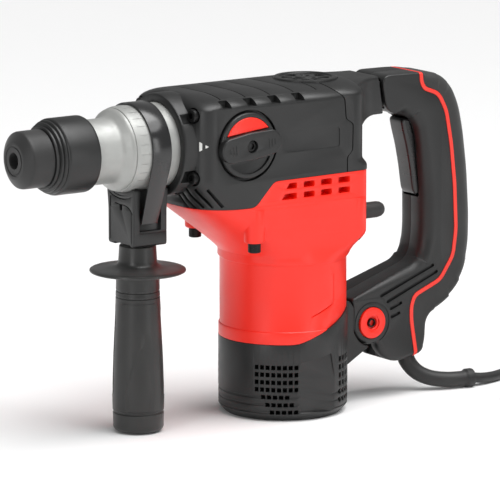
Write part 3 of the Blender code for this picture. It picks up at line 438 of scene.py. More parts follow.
class Bench:
    """Hand tools, each a few mesh operators."""

    @staticmethod
    def clear() -> None:
        """Leave edit mode and let go of everything."""
        if bpy.context.mode != "OBJECT":
            bpy.ops.object.mode_set(mode="OBJECT")
        bpy.ops.object.select_all(action="DESELECT")

    @staticmethod
    def hold(*pieces: Piece) -> Piece:
        """Select only these pieces, with the first one active."""
        Bench.clear()
        for piece in pieces:
            piece.select_set(True)
        bpy.context.view_layer.objects.active = pieces[0]
        return pieces[0]

    @staticmethod
    def edit(mode: str = "VERT") -> None:
        """Enter edit mode on the active piece with all of it selected."""
        bpy.ops.object.mode_set(mode="EDIT")
        bpy.ops.mesh.select_mode(type=mode)
        bpy.ops.mesh.select_all(action="SELECT")

    @staticmethod
    def outwards() -> None:
        """In edit mode, weld doubles, drop loose edges and turn faces outwards."""
        bpy.ops.mesh.select_all(action="SELECT")
        bpy.ops.mesh.remove_doubles(threshold=1e-6)
        bpy.ops.mesh.delete_loose(use_verts=True, use_edges=True, use_faces=False)
        bpy.ops.mesh.select_all(action="SELECT")
        bpy.ops.mesh.normals_make_consistent(inside=False)
        bpy.ops.object.mode_set(mode="OBJECT")

    @staticmethod
    def stacked(name: str, loops: Sequence[Loop]) -> Piece:
        """Extrude a filled circle once for each further loop, then draw the rings to their loops.

        Args:
            name: the piece's name.
            loops: rings in millimetres, all with the same number of points.
        Returns:
            A closed solid.
        """
        count = len(loops[0])
        Bench.clear()
        bpy.ops.mesh.primitive_circle_add(vertices=count, radius=1.0, fill_type="NGON")
        piece = bpy.context.object
        piece.name = name
        first = piece.data.vertices[0].co
        base = math.atan2(first.y, first.x)
        Bench.edit()
        for _ in loops[1:]:
            bpy.ops.mesh.extrude_region_move(TRANSFORM_OT_translate={"value": (0.0, 0.0, 1.0)})
        bpy.ops.object.mode_set(mode="OBJECT")
        for vertex in piece.data.vertices:
            turn = (math.atan2(vertex.co.y, vertex.co.x) - base) / math.tau
            vertex.co = loops[round(vertex.co.z)][round(turn * count) % count] * MM
        Bench.hold(piece)
        Bench.edit()
        Bench.outwards()
        return piece

    @staticmethod
    def turned(name: str, profile: Outline, axis: Axis = Axis.Z,
               centre: Corner = (0.0, 0.0, 0.0), sides: int = 96) -> Piece:
        """Spin a profile of (along, radius) points round an axis through centre."""
        Bench.clear()
        bpy.ops.mesh.primitive_circle_add(vertices=len(profile), radius=1.0, fill_type="NOTHING")
        piece = bpy.context.object
        piece.name = name
        origin = Vector(centre)
        for vertex, (along, radius) in zip(piece.data.vertices, profile):
            vertex.co = (origin + placed(axis, along, radius, 0.0)) * MM
        Bench.edit()
        bpy.ops.mesh.spin(steps=sides, angle=math.tau, center=origin * MM, axis=axis.value, dupli=False)
        Bench.outwards()
        return piece

    @staticmethod
    def rod(name: str, low: float, high: float, radius: float, axis: Axis = Axis.Z,
            centre: Corner = (0.0, 0.0, 0.0), sides: int = 48) -> Piece:
        """A turned rod."""
        profile: list[Point] = [(low, 0.0), (low, radius), (high, radius), (high, 0.0)]
        return Bench.turned(name, profile, axis, centre, sides)

    @staticmethod
    def plate(name: str, outline: Outline, low: float, high: float, axis: Axis = Axis.Y,
              rounding: float | Sequence[float] = 0.0, steps: int = 4) -> Piece:
        """Draw an outline out along an axis, with its two rims rounded.

        Args:
            name: the piece's name.
            outline: closed outline across the axis.
            low: where the plate starts along the axis.
            high: where it ends.
            axis: the direction it is drawn out in.
            rounding: radius of the rims, one for all or one for each point.
            steps: stretches in a rim's arc.
        Returns:
            A closed solid.
        """
        count = len(outline)
        radii = [rounding] * count if isinstance(rounding, (int, float)) else list(rounding)
        if max(radii) <= 0.0:
            return Bench.stacked(name, [[placed(axis, end, p[0], p[1]) for p in outline] for end in (low, high)])
        loops = []
        for end, side in ((low, 1.0), (high, -1.0)):
            rim = []
            for step in range(steps + 1):
                angle = math.pi / 2.0 * step / steps
                drawn = inset(outline, [radius * (1.0 - math.sin(angle)) for radius in radii])
                rim.append([placed(axis, end + side * radius * (1.0 - math.cos(angle)), u, v)
                            for (u, v), radius in zip(drawn, radii)])
            loops += rim if side > 0.0 else list(reversed(rim))
        return Bench.stacked(name, loops)

    @staticmethod
    def block(name: str, low: Sequence[float], high: Sequence[float], edge: float = 0.0,
              turn: float = 0.0, about: Axis = Axis.Z) -> Piece:
        """A cube sized and placed by its corners, turned about its middle and bevelled."""
        Bench.clear()
        middle = (Vector(low) + Vector(high)) / 2.0 * MM
        bpy.ops.mesh.primitive_cube_add(size=1.0)
        piece = bpy.context.object
        piece.name = name
        Bench.edit("EDGE")
        size = (Vector(high) - Vector(low)) * MM
        bpy.ops.transform.resize(value=size, center_override=(0.0, 0.0, 0.0))
        if edge > 0.0:
            bpy.ops.mesh.bevel(offset=edge * MM, segments=2, affect="EDGES")
        bpy.ops.object.mode_set(mode="OBJECT")
        spin = Matrix.Rotation(math.radians(turn), 4, Vector(about.value))
        piece.data.transform(Matrix.Translation(middle) @ spin)
        return piece

    @staticmethod
    def combine(piece: Piece, other: Piece, how: Joinery) -> Piece:
        """Cut, weld or trim a piece with another, which is used up."""
        Bench.share_slots(piece, other)
        Bench.hold(piece)
        modifier = piece.modifiers.new("joinery", "BOOLEAN")
        modifier.operation = how.value
        modifier.solver = "MANIFOLD"
        modifier.object = other
        bpy.ops.object.modifier_apply(modifier=modifier.name)
        bpy.data.objects.remove(other, do_unlink=True)
        return piece

    @staticmethod
    def cut(piece: Piece, *others: Piece) -> Piece:
        """Cut away several solids that stand clear of each other in one go."""
        return Bench.combine(piece, Bench.gathered(*others), Joinery.CUT)

    @staticmethod
    def hollow(piece: Piece, *others: Piece) -> Piece:
        """Cut away solids with a cutter lined with painted shade, so the cut walls are coloured dark as if shaded; see
        share_slots for why the lining doesn't show.
        """
        return Bench.combine(piece, Bench.lined(Bench.gathered(*others), PAINTED_SHADE_LINING), Joinery.CUT)

    @staticmethod
    def weld(piece: Piece, *others: Piece) -> Piece:
        """Weld further solids on, one by one."""
        for other in others:
            Bench.combine(piece, other, Joinery.WELD)
        return piece

    @staticmethod
    def trim(piece: Piece, other: Piece) -> Piece:
        """Keep only what is inside another solid."""
        return Bench.combine(piece, other, Joinery.TRIM)

    @staticmethod
    def gathered(*pieces: Piece) -> Piece:
        """Put several meshes into one object, without welding them."""
        Bench.hold(*pieces)
        if len(pieces) > 1:
            bpy.ops.object.join()
        return pieces[0]

    @staticmethod
    def copied(piece: Piece, name: str, move: Matrix) -> Piece:
        """A copy with its own mesh, moved in the mesh by a matrix in millimetres."""
        Bench.hold(piece)
        bpy.ops.object.duplicate()
        twin = bpy.context.object
        twin.name = name
        shift = move.copy()
        shift.translation = move.translation * MM
        twin.data.transform(shift)
        return twin

    @staticmethod
    def soften(piece: Piece, width: float = 0.3, segments: int = 2,
               angle: float = 35.0) -> Piece:
        """Break the sharp edges, and shade what is left as smooth."""
        Bench.hold(piece)
        if width > 0.0:
            modifier = piece.modifiers.new("broken_edges", "BEVEL")
            modifier.width = width * MM
            modifier.segments = segments
            modifier.limit_method = "ANGLE"
            modifier.angle_limit = math.radians(angle)
            modifier.use_clamp_overlap = True
            bpy.ops.object.modifier_apply(modifier=modifier.name)
        bpy.ops.object.shade_smooth_by_angle(angle=math.radians(SMOOTH_UNDER))
        return piece

    @staticmethod
    def share_slots(piece: Piece, other: Piece) -> None:
        """Give both solids of a joint the same list of materials, slot 0 being the outer skin.

        Known fault: clearing the other solid's list puts all its faces back in slot 0, so what a lined
        cutter cuts takes the outer finish. Setting the faces' slots after the list is refilled would
        bring the painted-shade linings back.
        """
        kept = piece.data.materials
        places = {0: 0}
        for index, material in enumerate(other.data.materials):
            if index == 0:
                if not kept:
                    kept.append(material)
                continue
            match = next((place for place, known in enumerate(kept) if place and known.name == material.name), 0)
            if not match:
                kept.append(material)
                match = len(kept) - 1
            places[index] = match
        for face in other.data.polygons:
            face.material_index = places.get(face.material_index, 0)
        other.data.materials.clear()
        for material in kept:
            other.data.materials.append(material)

    @staticmethod
    def lined(piece: Piece, finish: Finish) -> Piece:
        """Give a cutter, in its second slot, the finish meant for the faces it cuts, which is the painted shade lining.
        """
        piece.data.materials.clear()
        for _ in range(2):
            piece.data.materials.append(finish.build())
        for face in piece.data.polygons:
            face.material_index = 1
        return piece


@dataclass
class Assembly:
    """A group of pieces that is built, dressed and reported together."""

    made: list[str] = field(default_factory=list)

    def dress(self, piece: Piece, finish: Finish, body: Body, *nodes: str,
              keep_lining: bool = False) -> Piece:
        """Give a piece its finish, its moving body and the CAD nodes it stands for.

        Args:
            piece: the finished mesh or curve.
            finish: the look of its surface.
            body: the body it rides on.
            nodes: CAD nodes that it replaces.
            keep_lining: whether the slots after the first, which hold the painted-shade lining, are kept.
        Returns:
            The piece.
        """
        if keep_lining and piece.data.materials:
            piece.data.materials[0] = finish.build()
        else:
            piece.data.materials.clear()
            piece.data.materials.append(finish.build())
        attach(piece, body.value)
        if nodes:
            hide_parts(*nodes)
        self.made.append(piece.name)
        LOG.info("%s rides on %s and stands for %s", piece.name, body.value, ", ".join(nodes) or "no node")
        return piece

    def build(self) -> None:
        """Make every piece."""
        raise NotImplementedError


# ---------------------------------------------------------------- housings


@dataclass
class GearHousing(Assembly):
    """Black gear housing and rear cover, split along a stepped seam."""

    selector: Point = (-63.8, 212.0)
    roof_z: float = 249.0
    shoulder_z: float = 240.0
    half: float = 46.0
    front: float = -104.0
    rear: float = 48.0
    vents: tuple[float, ...] = (-82.0, -60.0, -38.5, -17.0)
    seam: tuple[Point, ...] = ((25.2, 150.0), (25.2, 195.0), (30.0, 199.3), (30.4, 219.6), (24.0, 223.4),
                               (22.6, 239.0), (15.0, 246.6), (13.6, 262.0))
    split: tuple[Point, ...] = ((-140.0, 165.6), (-57.0, 165.6), (-40.0, 183.3), (90.0, 184.2))

    def shell(self, name: str, tight: float = 0.0) -> Piece:
        """The whole moulding, from under the split line up to its arched roof.

        Args:
            name: the piece's name.
            tight: how far all of it is moved in.
        Returns:
            A closed solid.
        """
        loops = []
        for z in (150.0, 158.0, 162.0, 165.0, 168.0, 171.0, 174.0, 177.0, 181.0, 184.0, 187.0, 188.5, 190.0, 191.5,
                  193.0, 215.0, self.shoulder_z):
            part = (z - 162.0) / 27.0
            rear = self.rear - blended(0.0, 1.4, (z - 187.0) / 6.0) - tight
            outline = plan(blended(-99.0, self.front, part) + tight, rear, self.half - tight,
                           blended(34.0, 13.0, part), blended(9.0, 15.0, (z - 187.0) / 6.0))
            loops.append([Vector((x, y, z)) for x, y in outline])
        for step in range(1, 12):
            angle = math.radians(90.0 * step / 11.0)
            fall = math.cos(angle)
            outline = plan(-94.0 - 10.0 * fall + tight, 44.4 + 2.2 * fall - tight, 12.0 + 34.0 * fall - tight,
                           10.0 + 3.0 * fall + 6.0 * math.sin(2.0 * angle) * fall, 8.0 + 7.0 * fall)
            z = self.shoulder_z + (self.roof_z - self.shoulder_z) * math.sin(angle) - tight
            loops.append([Vector((x, y, z)) for x, y in outline])
        return Bench.stacked(name, loops)

    def below_split(self, name: str) -> Piece:
        """What lies under the line where the motor housing begins."""
        line = filleted(self.split, 4.0, closed=False)
        return Bench.plate(name, [(-140.0, 120.0), (90.0, 120.0)] + [p[:2] for p in reversed(line)], -BEYOND, BEYOND)

    def either_side(self, name: str, ahead: bool, gap: float) -> Piece:
        """Everything ahead of or behind the seam between housing and rear cover."""
        line = [(x + gap, z) for x, z, *_ in filleted(self.seam, 2.2, closed=False)]
        far = -150.0 if ahead else 100.0
        return Bench.plate(name, line + [(far, 262.0), (far, 150.0)], -BEYOND, BEYOND)

    def grease_port(self) -> Piece:
        """The round hole over the crank."""
        return Bench.rod("grease_port", 236.0, 262.0, 24.35, Axis.Z, CAP_AXIS, 96)

    def build_front(self) -> None:
        """The gear housing with its nose ring, vents, pockets and grooves."""
        body = self.shell("gear_housing_shell")
        nose = Bench.turned("nose_ring", [(-113.5, 0.0), (-113.5, 36.4), (-113.0, 37.6), (-111.6, 38.2),
                                          (-102.0, 38.2), (-98.0, 38.2), (-98.0, 0.0)],
                            Axis.X, DRILL_AXIS)
        Bench.weld(body, nose)
        Bench.cut(body, Bench.rod("nose_bore", -120.0, -60.0, 32.0, Axis.X, DRILL_AXIS, 96))
        Bench.cut(body, self.either_side("rear_part", False, -0.05))
        Bench.cut(body, self.below_split("lower_part"))
        self.recess_side(body)
        self.cut_vents(body)
        self.cut_front(body)
        Bench.cut(body, self.grease_port())
        Bench.soften(body, 0.35)
        self.dress(body, BLACK_SHELL, Body.HOUSING, "gear_housing", keep_lining=True)

    def recess_side(self, body: Piece) -> None:
        """The round seat of the selector and the shallow field behind it."""
        x, z = self.selector
        seat = Bench.turned("selector_seat", [(-60.0, 0.0), (-60.0, 27.0), (-45.6, 26.3), (-42.3, 26.2), (-42.3, 0.0)],
                            Axis.Y, (x, 0.0, z))
        field_outline = eased([(-29.0, 203.4), (18.5, 203.4), (18.5, 218.0), (-29.0, 218.0)], 2.2)
        field_cut = Bench.plate("side_field", field_outline, -60.0, -45.35)
        Bench.cut(body, seat, field_cut)
        far = Bench.plate("far_field", eased(
            [(-82.0, 200.0), (12.0, 200.0), (12.0, 232.0), (-82.0, 232.0)], 5.0), 45.3, 60.0)
        Bench.cut(body, far)

    def cut_vents(self, body: Piece) -> None:
        """Shoulder vents on both sides, and the fine lines that run over the roof from them."""
        openings = []
        lines = []
        for side in (-1.0, 1.0):
            for x in self.vents:
                low, high = span(side, 37.0, 50.0)
                openings.append(Bench.block("vent", (x - 4.0, low, 240.4), (x + 4.0, high, 245.6), 0.5))
        for x in self.vents:
            lines.append(Bench.block("roof_line", (x - 0.45, -37.0, 240.0), (x + 0.45, 37.0, 252.0)))
        lines.append(Bench.block("roof_line", (3.0, -37.0, 240.0), (3.9, 37.0, 252.0)))
        grooves = Bench.gathered(*lines)
        Bench.cut(grooves, self.shell("under_roof", 0.6))
        Bench.hollow(body, *openings)
        Bench.combine(body, grooves, Joinery.CUT)

    def cut_front(self, body: Piece) -> None:
        """Seats of the four nose screws, and the slanted slots low on both front corners."""
        seats = [Bench.rod("screw_seat", -112.0, -100.9, 5.9, Axis.X, (0.0, y, z), 40) for y, z in self.screws()]
        Bench.cut(body, *seats)
        slots = []
        for side in (-1.0, 1.0):
            for angle, height in ((166.0, 171.5), (180.0, 173.0), (198.0, 174.2), (217.0, 174.6), (236.0, 175.0)):
                turn = math.radians(angle) * -side
                slot = Bench.block("slot", (-7.0, -1.2, -9.2), (8.0, 1.2, 9.2), 0.5)
                aside = side * (20.8 + 25.2 * math.sin(math.radians(angle)) * -1.0)
                spot = Vector((-75.9 + 25.2 * math.cos(turn), aside, height))
                slot.data.transform(Matrix.Translation(spot * MM) @ Matrix.Rotation(turn, 4, "Z")
                                    @ Matrix.Rotation(math.radians(-38.0 * side), 4, "X"))
                slots.append(slot)
        Bench.hollow(body, *slots)

    def screws(self) -> list[Point]:
        """Places of the nose screws, across and up."""
        return [(side * 34.0, DRILL_Z + up) for side in (-1.0, 1.0) for up in (-20.8, 25.0)]

    def build_rear(self) -> None:
        """The rear cover with the upper arm that carries the damper."""
        body = self.shell("rear_cover_shell")
        Bench.weld(body, self.upper_arm())
        Bench.cut(body, self.either_side("front_part", True, 0.85))
        Bench.cut(body, self.below_split("under_cover"))
        Bench.hollow(body, Bench.block("arm_mouth", (66.0, -15.3, 221.3), (90.0, 15.3, 244.5), 2.0))
        Bench.cut(body, self.grease_port())
        Bench.soften(body, 0.4)
        self.dress(body, BLACK_SHELL, Body.HOUSING, "rear_cover", keep_lining=True)

    def upper_arm(self) -> Piece:
        """The arm that narrows from the shoulders to the damper, with a hollow curve under it."""
        stations = ((22.0, 41.0, 200.0, 242.0), (30.0, 40.0, 202.0, 243.4), (36.0, 38.0, 204.0, 244.6),
                    (42.0, 35.0, 206.5, 245.6), (46.0, 32.4, 208.6, 246.2), (50.0, 29.6, 211.0, 246.7),
                    (54.0, 26.8, 213.4, 247.0), (58.0, 24.2, 215.4, 247.2), (62.0, 22.0, 216.9, 247.3),
                    (66.0, 20.4, 217.9, 247.4), (70.0, 19.4, 218.4, 247.5), (73.4, 19.0, 218.5, 247.5))
        loops = []
        for x, half, low, high in stations:
            outline = filleted([(-half, low), (half, low), (half, high), (-half, high)], 2.6, 5)
            lean = 0.0 if x < 73.0 else 1.0
            loops.append([Vector((x + lean * 4.8 * (high - v) / (high - low), u, v)) for u, v, *_ in outline])
        return Bench.stacked("upper_arm", loops)

    def build_fittings(self) -> None:
        """Grease cap, nose screws and the pointer beside the selector."""
        roof = self.roof_z
        profile = [(241.0, 0.0), (241.0, 24.0), (roof + 0.2, 24.0), (roof + 0.9, 23.6), (roof + 1.3, 22.8),
                   (roof + 1.3, 20.6), (roof + 1.0, 20.0), (roof + 0.2, 19.6), (roof + 0.1, 18.9), (roof + 0.1, 8.4),
                   (roof + 0.3, 7.9), (roof + 1.0, 7.6), (roof + 1.3, 6.9), (roof + 1.3, 3.4), (roof + 0.3, 3.0),
                   (roof + 0.3, 0.0)]
        cap = Bench.turned("grease_cap_plug", profile, Axis.Z, CAP_AXIS, 120)
        pocket = Bench.plate("pocket", eased(
            arc((0.0, 0.0), 17.8, -15.0, 15.0, 6) + arc((0.0, 0.0), 9.8, 15.0, -15.0, 4), 1.2, 3),
            roof - 1.6, roof + 4.0, Axis.Z)
        pockets = [Bench.copied(pocket, "pocket", Matrix.Translation(CAP_AXIS)
                                @ Matrix.Rotation(math.radians(45.0 * n + 10.0), 4, "Z")) for n in range(8)]
        bpy.data.objects.remove(pocket, do_unlink=True)
        Bench.cut(cap, *pockets)
        Bench.soften(cap, 0.2)
        self.dress(cap, BLACK_SHELL, Body.HOUSING, "grease_cap")
        for number, (y, z) in enumerate(self.screws(), start=1):
            self.dress(socket_screw(f"nose_cap_screw_{number}", Axis.X, -106.0, -101.2, (0.0, y, z)),
                       BLACK_SCREW, Body.HOUSING, f"nose_screw_{number}", keep_lining=True)
        pointer = Bench.plate("selector_pointer", eased(
            [(-3.4, -3.6), (3.8, 0.0), (-3.4, 3.6)], 0.5, 3), -0.35, 0.9, Axis.Y)
        pointer.data.transform(Matrix.Translation(Vector((-99.9, -41.9, 214.0)) * MM)
                               @ Matrix.Rotation(math.radians(-45.0), 4, "Z"))
        Bench.soften(pointer, 0.1)
        self.dress(pointer, MARK_WHITE, Body.HOUSING)

    def build(self) -> None:
        """Make both mouldings and their fittings."""
        self.build_front()
        self.build_rear()
        self.build_fittings()


def socket_screw(name: str, axis: Axis, tip: float, base: float, centre: Corner,
                 radius: float = 4.8) -> Piece:
    """Socket-head screw with a knurled rim and a hexagon socket.

    Args:
        name: the piece's name.
        axis: the screw's axis.
        tip: where the head's outer face is along the axis.
        base: where the head ends.
        centre: a point on the axis.
        radius: the head's radius.
    Returns:
        The screw head.
    """
    way = 1.0 if base > tip else -1.0
    profile = [(tip, 0.0), (tip, radius - 0.9), (tip + 0.25 * way, radius - 0.3), (tip + 0.7 * way, radius),
               (base, radius), (base, 0.0)]
    head = Bench.turned(name, profile, axis, centre, 72)
    rim = [Bench.rod("flute", tip + 0.9 * way, base + 1.0 * way, 0.28, axis, tuple(
        Vector(centre) + placed(axis, 0.0, radius * math.cos(math.tau * n / 24), radius * math.sin(math.tau * n / 24))),
        6) for n in range(24)]
    socket = Bench.rod("socket", tip - 2.0 * way, tip + 2.8 * way, 2.6, axis, centre, 6)
    Bench.cut(head, *rim)
    Bench.hollow(head, socket)
    return Bench.soften(head, 0.0)


@dataclass
class MotorHousing(Assembly):
    """Red motor housing that flares from a round barrel to the gear housing."""

    radius: float = 47.5
    step_radius: float = 48.4
    rear: float = 48.0
    bolts: tuple[Point, ...] = ((-53.0, -38.5), (-53.0, 38.5), (37.5, -38.5), (37.5, 38.5))
    cap_split: tuple[Point, ...] = ((-90.0, 57.9), (-18.0, 57.9), (4.0, 66.0), (32.0, 77.6), (90.0, 92.0))

    def round_loop(self, z: float, radius: float) -> Loop:
        """A round section with as many points as the flared ones."""
        return [Vector((x, y, z)) for x, y in plan(-radius, radius, radius, radius, radius)]

    def shell(self) -> Piece:
        """Barrel with its two steps, then the flare."""
        loops = [self.round_loop(z, r) for z, r in (
            (40.0, self.step_radius), (66.4, self.step_radius), (67.2, self.step_radius - 0.25), (67.7, self.radius),
            (92.0, self.radius), (116.6, self.radius), (117.4, self.radius + 0.2), (118.0, self.step_radius))]
        for z in (119.5, 122.0, 124.5, 127.0, 129.5, 132.0, 134.5, 137.0, 140.0, 144.0, 150.0, 156.0, 161.0, 165.0,
                  170.0, 180.0, 200.0):
            wide = min(1.0, max(0.0, (z - 124.0) / 41.0))
            square = blended(0.0, 1.0, (z - 118.0) / 20.0)
            front = -self.step_radius - 50.1 * (wide ** 1.06)
            half = 48.0 - 2.0 * blended(0.0, 1.0, (z - 118.0) / 16.0)
            loops.append([Vector((x, y, z)) for x, y in plan(
                front, self.rear, half, min(half - 0.5, 46.0 - 12.0 * wide), 45.0 - 35.0 * square)])
        return Bench.stacked("motor_barrel", loops)

    def build(self) -> None:
        """The housing with its bosses, vents, split lines and badge field, then its bolts."""
        gears = GearHousing()
        body = self.shell()
        for x, y in self.bolts:
            profile = [(138.0, 0.0), (138.0, 6.6), (138.7, 7.4), (139.6, 7.6), (150.0, 8.0), (163.0, 8.6), (163.0, 0.0)]
            Bench.weld(body, Bench.turned("bolt_boss", profile, Axis.Z, (x, y, 0.0), 48))
        upper = [(x, z - 0.35) for x, z, *_ in filleted(gears.split, 4.0, closed=False)]
        Bench.cut(body, Bench.plate("above_split", upper + [(90.0, 330.0), (-140.0, 330.0)], -BEYOND, BEYOND))
        lower = [(x, z + 0.35) for x, z, *_ in filleted(self.cap_split, 5.0, closed=False)]
        Bench.cut(body, Bench.plate("below_cap", [(-90.0, 0.0), (90.0, 0.0)] + list(reversed(lower)), -BEYOND, BEYOND))
        self.cut_vents(body)
        Bench.cut(body, self.badge_field())
        seats = [Bench.rod("bolt_seat", 120.0, 139.4, 5.7, Axis.Z, (x, y, 0.0), 32) for x, y in self.bolts]
        Bench.cut(body, *seats)
        Bench.soften(body, 0.35)
        self.dress(body, RED_SHELL, Body.HOUSING, "motor_housing", keep_lining=True)
        for number, (x, y) in enumerate(self.bolts, start=1):
            self.dress(socket_screw(f"housing_cap_bolt_{number}", Axis.Z, 130.5, 139.0, (x, y, 0.0), 4.7),
                       BLACK_SCREW, Body.HOUSING, f"housing_bolt_{number}", keep_lining=True)
        profile = [(48.3, 0.0), (48.3, 6.2), (69.5, 6.1), (72.6, 5.6), (74.8, 4.3), (76.0, 2.4), (76.4, 0.0)]
        bumper = Bench.turned("rear_bumper", profile, Axis.X, (0.0, -22.0, 147.6), 64)
        self.dress(Bench.soften(bumper, 0.0), DUST_RUBBER, Body.HOUSING, "rear_buffer")

    def cut_vents(self, body: Piece) -> None:
        """Two rows of air slots under the split line on both sides; the deeper part of each slot is lined with painted
        shade.
        """
        shallow = []
        deep = []
        for side in (-1.0, 1.0):
            for z, starts in ((178.3, (-30.0, -14.0, 1.6, 17.4)), (170.6, (-34.0, -14.0, 1.6, 17.4))):
                for number, x in enumerate(starts):
                    end = (-20.0, -4.0, 11.6, 28.0)[number]
                    slope = 3.2 if number == 0 else 0.0
                    outline = eased([(x, z - 2.3), (end, z - 2.3), (end, z + 2.3),
                                                        (x + slope, z + 2.3)], 1.1, 3)
                    for depth, group in ((43.4, shallow), (36.0, deep)):
                        low, high = sorted((side * depth, side * (60.0 if group is shallow else 43.45)))
                        group.append(Bench.plate("air_slot", outline, low, high))
        Bench.cut(body, *shallow)
        Bench.hollow(body, *deep)

    def badge_field(self) -> Piece:
        """A shallow plain line pressed into the barrel, left blank."""
        corners = [(-99.0, 77.5), (-72.5, 86.0), (-72.5, 108.0), (-76.0, 110.0)]
        outline = corners + list(reversed(beside(corners, 0.8)))
        loops = []
        for radius in (self.radius - 0.5, self.radius + 6.0):
            loops.append([Vector((radius * math.cos(math.radians(a)), radius * math.sin(math.radians(a)), z))
                          for a, z in outline])
        return Bench.stacked("badge_field", loops)


@dataclass
class MotorEndCap(Assembly):
    """Black cap round the lower motor, with grilles, grooves and the handle's bracket."""

    radius: float = 48.4
    pivot: Point = PIVOT

    def profile(self) -> list[Point]:
        """Turned section with a chamfered foot and three grooves."""
        points: list[Point] = [(0.0, 0.0), (0.0, 42.6), (0.5, 43.8), (3.6, 46.6), (4.6, 47.4)]
        for middle in (7.0, 12.6, 18.2):
            points += [(middle - 0.9, self.radius - 0.1), (middle - 0.6, self.radius - 0.7),
                       (middle + 0.6, self.radius - 0.7), (middle + 0.9, self.radius - 0.1)]
        return points + [(20.0, self.radius), (60.0, self.radius), (100.0, self.radius), (100.0, 0.0)]

    def openings(self) -> list[Piece]:
        """Small square air holes, in rows at the front and beside the bracket on both sides."""
        places: list[tuple[float, float, float, float]] = []
        for z in (41.0, 35.5, 29.8, 24.2):
            places += [(-149.0 + 5.1 * n, z, 3.1, 3.4) for n in range(8)]
        for row, z in enumerate((18.6, 12.8, 7.2)):
            places += [(-143.0 + 4.0 * row + 5.4 * n, z, 3.3, 3.2) for n in range(5)]
        for z in (43.0, 36.8, 30.6, 24.4, 18.2, 12.0):
            places += [(-64.0 + 6.4 * n, z, 3.4, 3.8) for n in range(5)]
        hole = Bench.block("hole", (38.0, -0.5, -0.5), (52.0, 0.5, 0.5))
        made = []
        for side in (-1.0, 1.0):
            for angle, z, width, height in places:
                turn = Matrix.Translation((0.0, 0.0, z)) @ Matrix.Rotation(math.radians(-side * angle), 4, "Z")
                made.append(Bench.copied(hole, "hole", turn @ Matrix.Diagonal((1.0, width, height, 1.0))))
        bpy.data.objects.remove(hole, do_unlink=True)
        return made

    def facet(self, side: float) -> Piece:
        """A six-sided flat between the grilles."""
        corners = [(-109.0, 44.5), (-77.5, 49.0), (-70.0, 19.5), (-74.0, 4.5), (-108.0, 7.2), (-116.5, 24.0)]
        middle = math.radians(-92.5)
        normal = Vector((math.cos(middle), math.sin(middle), 0.0))
        across = Vector((-normal.y, normal.x, 0.0))
        loops = []
        for distance in (45.5, 56.0):
            loop = []
            for angle, z in corners:
                shift = self.radius * math.sin(math.radians(angle) - middle)
                spot = normal * distance + across * shift
                loop.append(Vector((spot.x, spot.y * -side, z)))
            loops.append(loop)
        return Bench.stacked("facet", loops)

    def build(self) -> None:
        """Cap, bracket and tongue in one moulding."""
        body = Bench.turned("motor_cap", self.profile(), sides=144)
        line = [(x, z) for x, z, *_ in filleted(MotorHousing().cap_split, 5.0, closed=False)]
        lobe = arc(self.pivot, 17.6, 259.0, 208.0, 8)
        shoulder = filleted([(20.0, 26.0), (43.0, 29.5), (64.6, 41.9), *lobe, (51.5, 55.0), (51.5, 74.0),
                             (47.5, 79.5), (20.0, 79.5)], 1.2)
        Bench.weld(body, Bench.plate("bracket", [p[:2] for p in shoulder], -20.0, 20.0, Axis.Y, 0.8))
        tongue = arc(self.pivot, 12.0, -115.0, 115.0, 24) + [(45.0, 74.0), (45.0, 46.0)]
        Bench.weld(body, Bench.plate("tongue", tongue, -9.5, 9.5))
        Bench.cut(body, Bench.plate("above_cap", line + [(90.0, 330.0), (-90.0, 330.0)], -BEYOND, BEYOND))
        Bench.cut(body, self.facet(-1.0), self.facet(1.0))
        Bench.hollow(body, *self.openings())
        Bench.soften(body, 0.25)
        self.dress(body, BLACK_SHELL, Body.HOUSING, "motor_end_cap", keep_lining=True)


# ---------------------------------------------------------------- nose and chuck


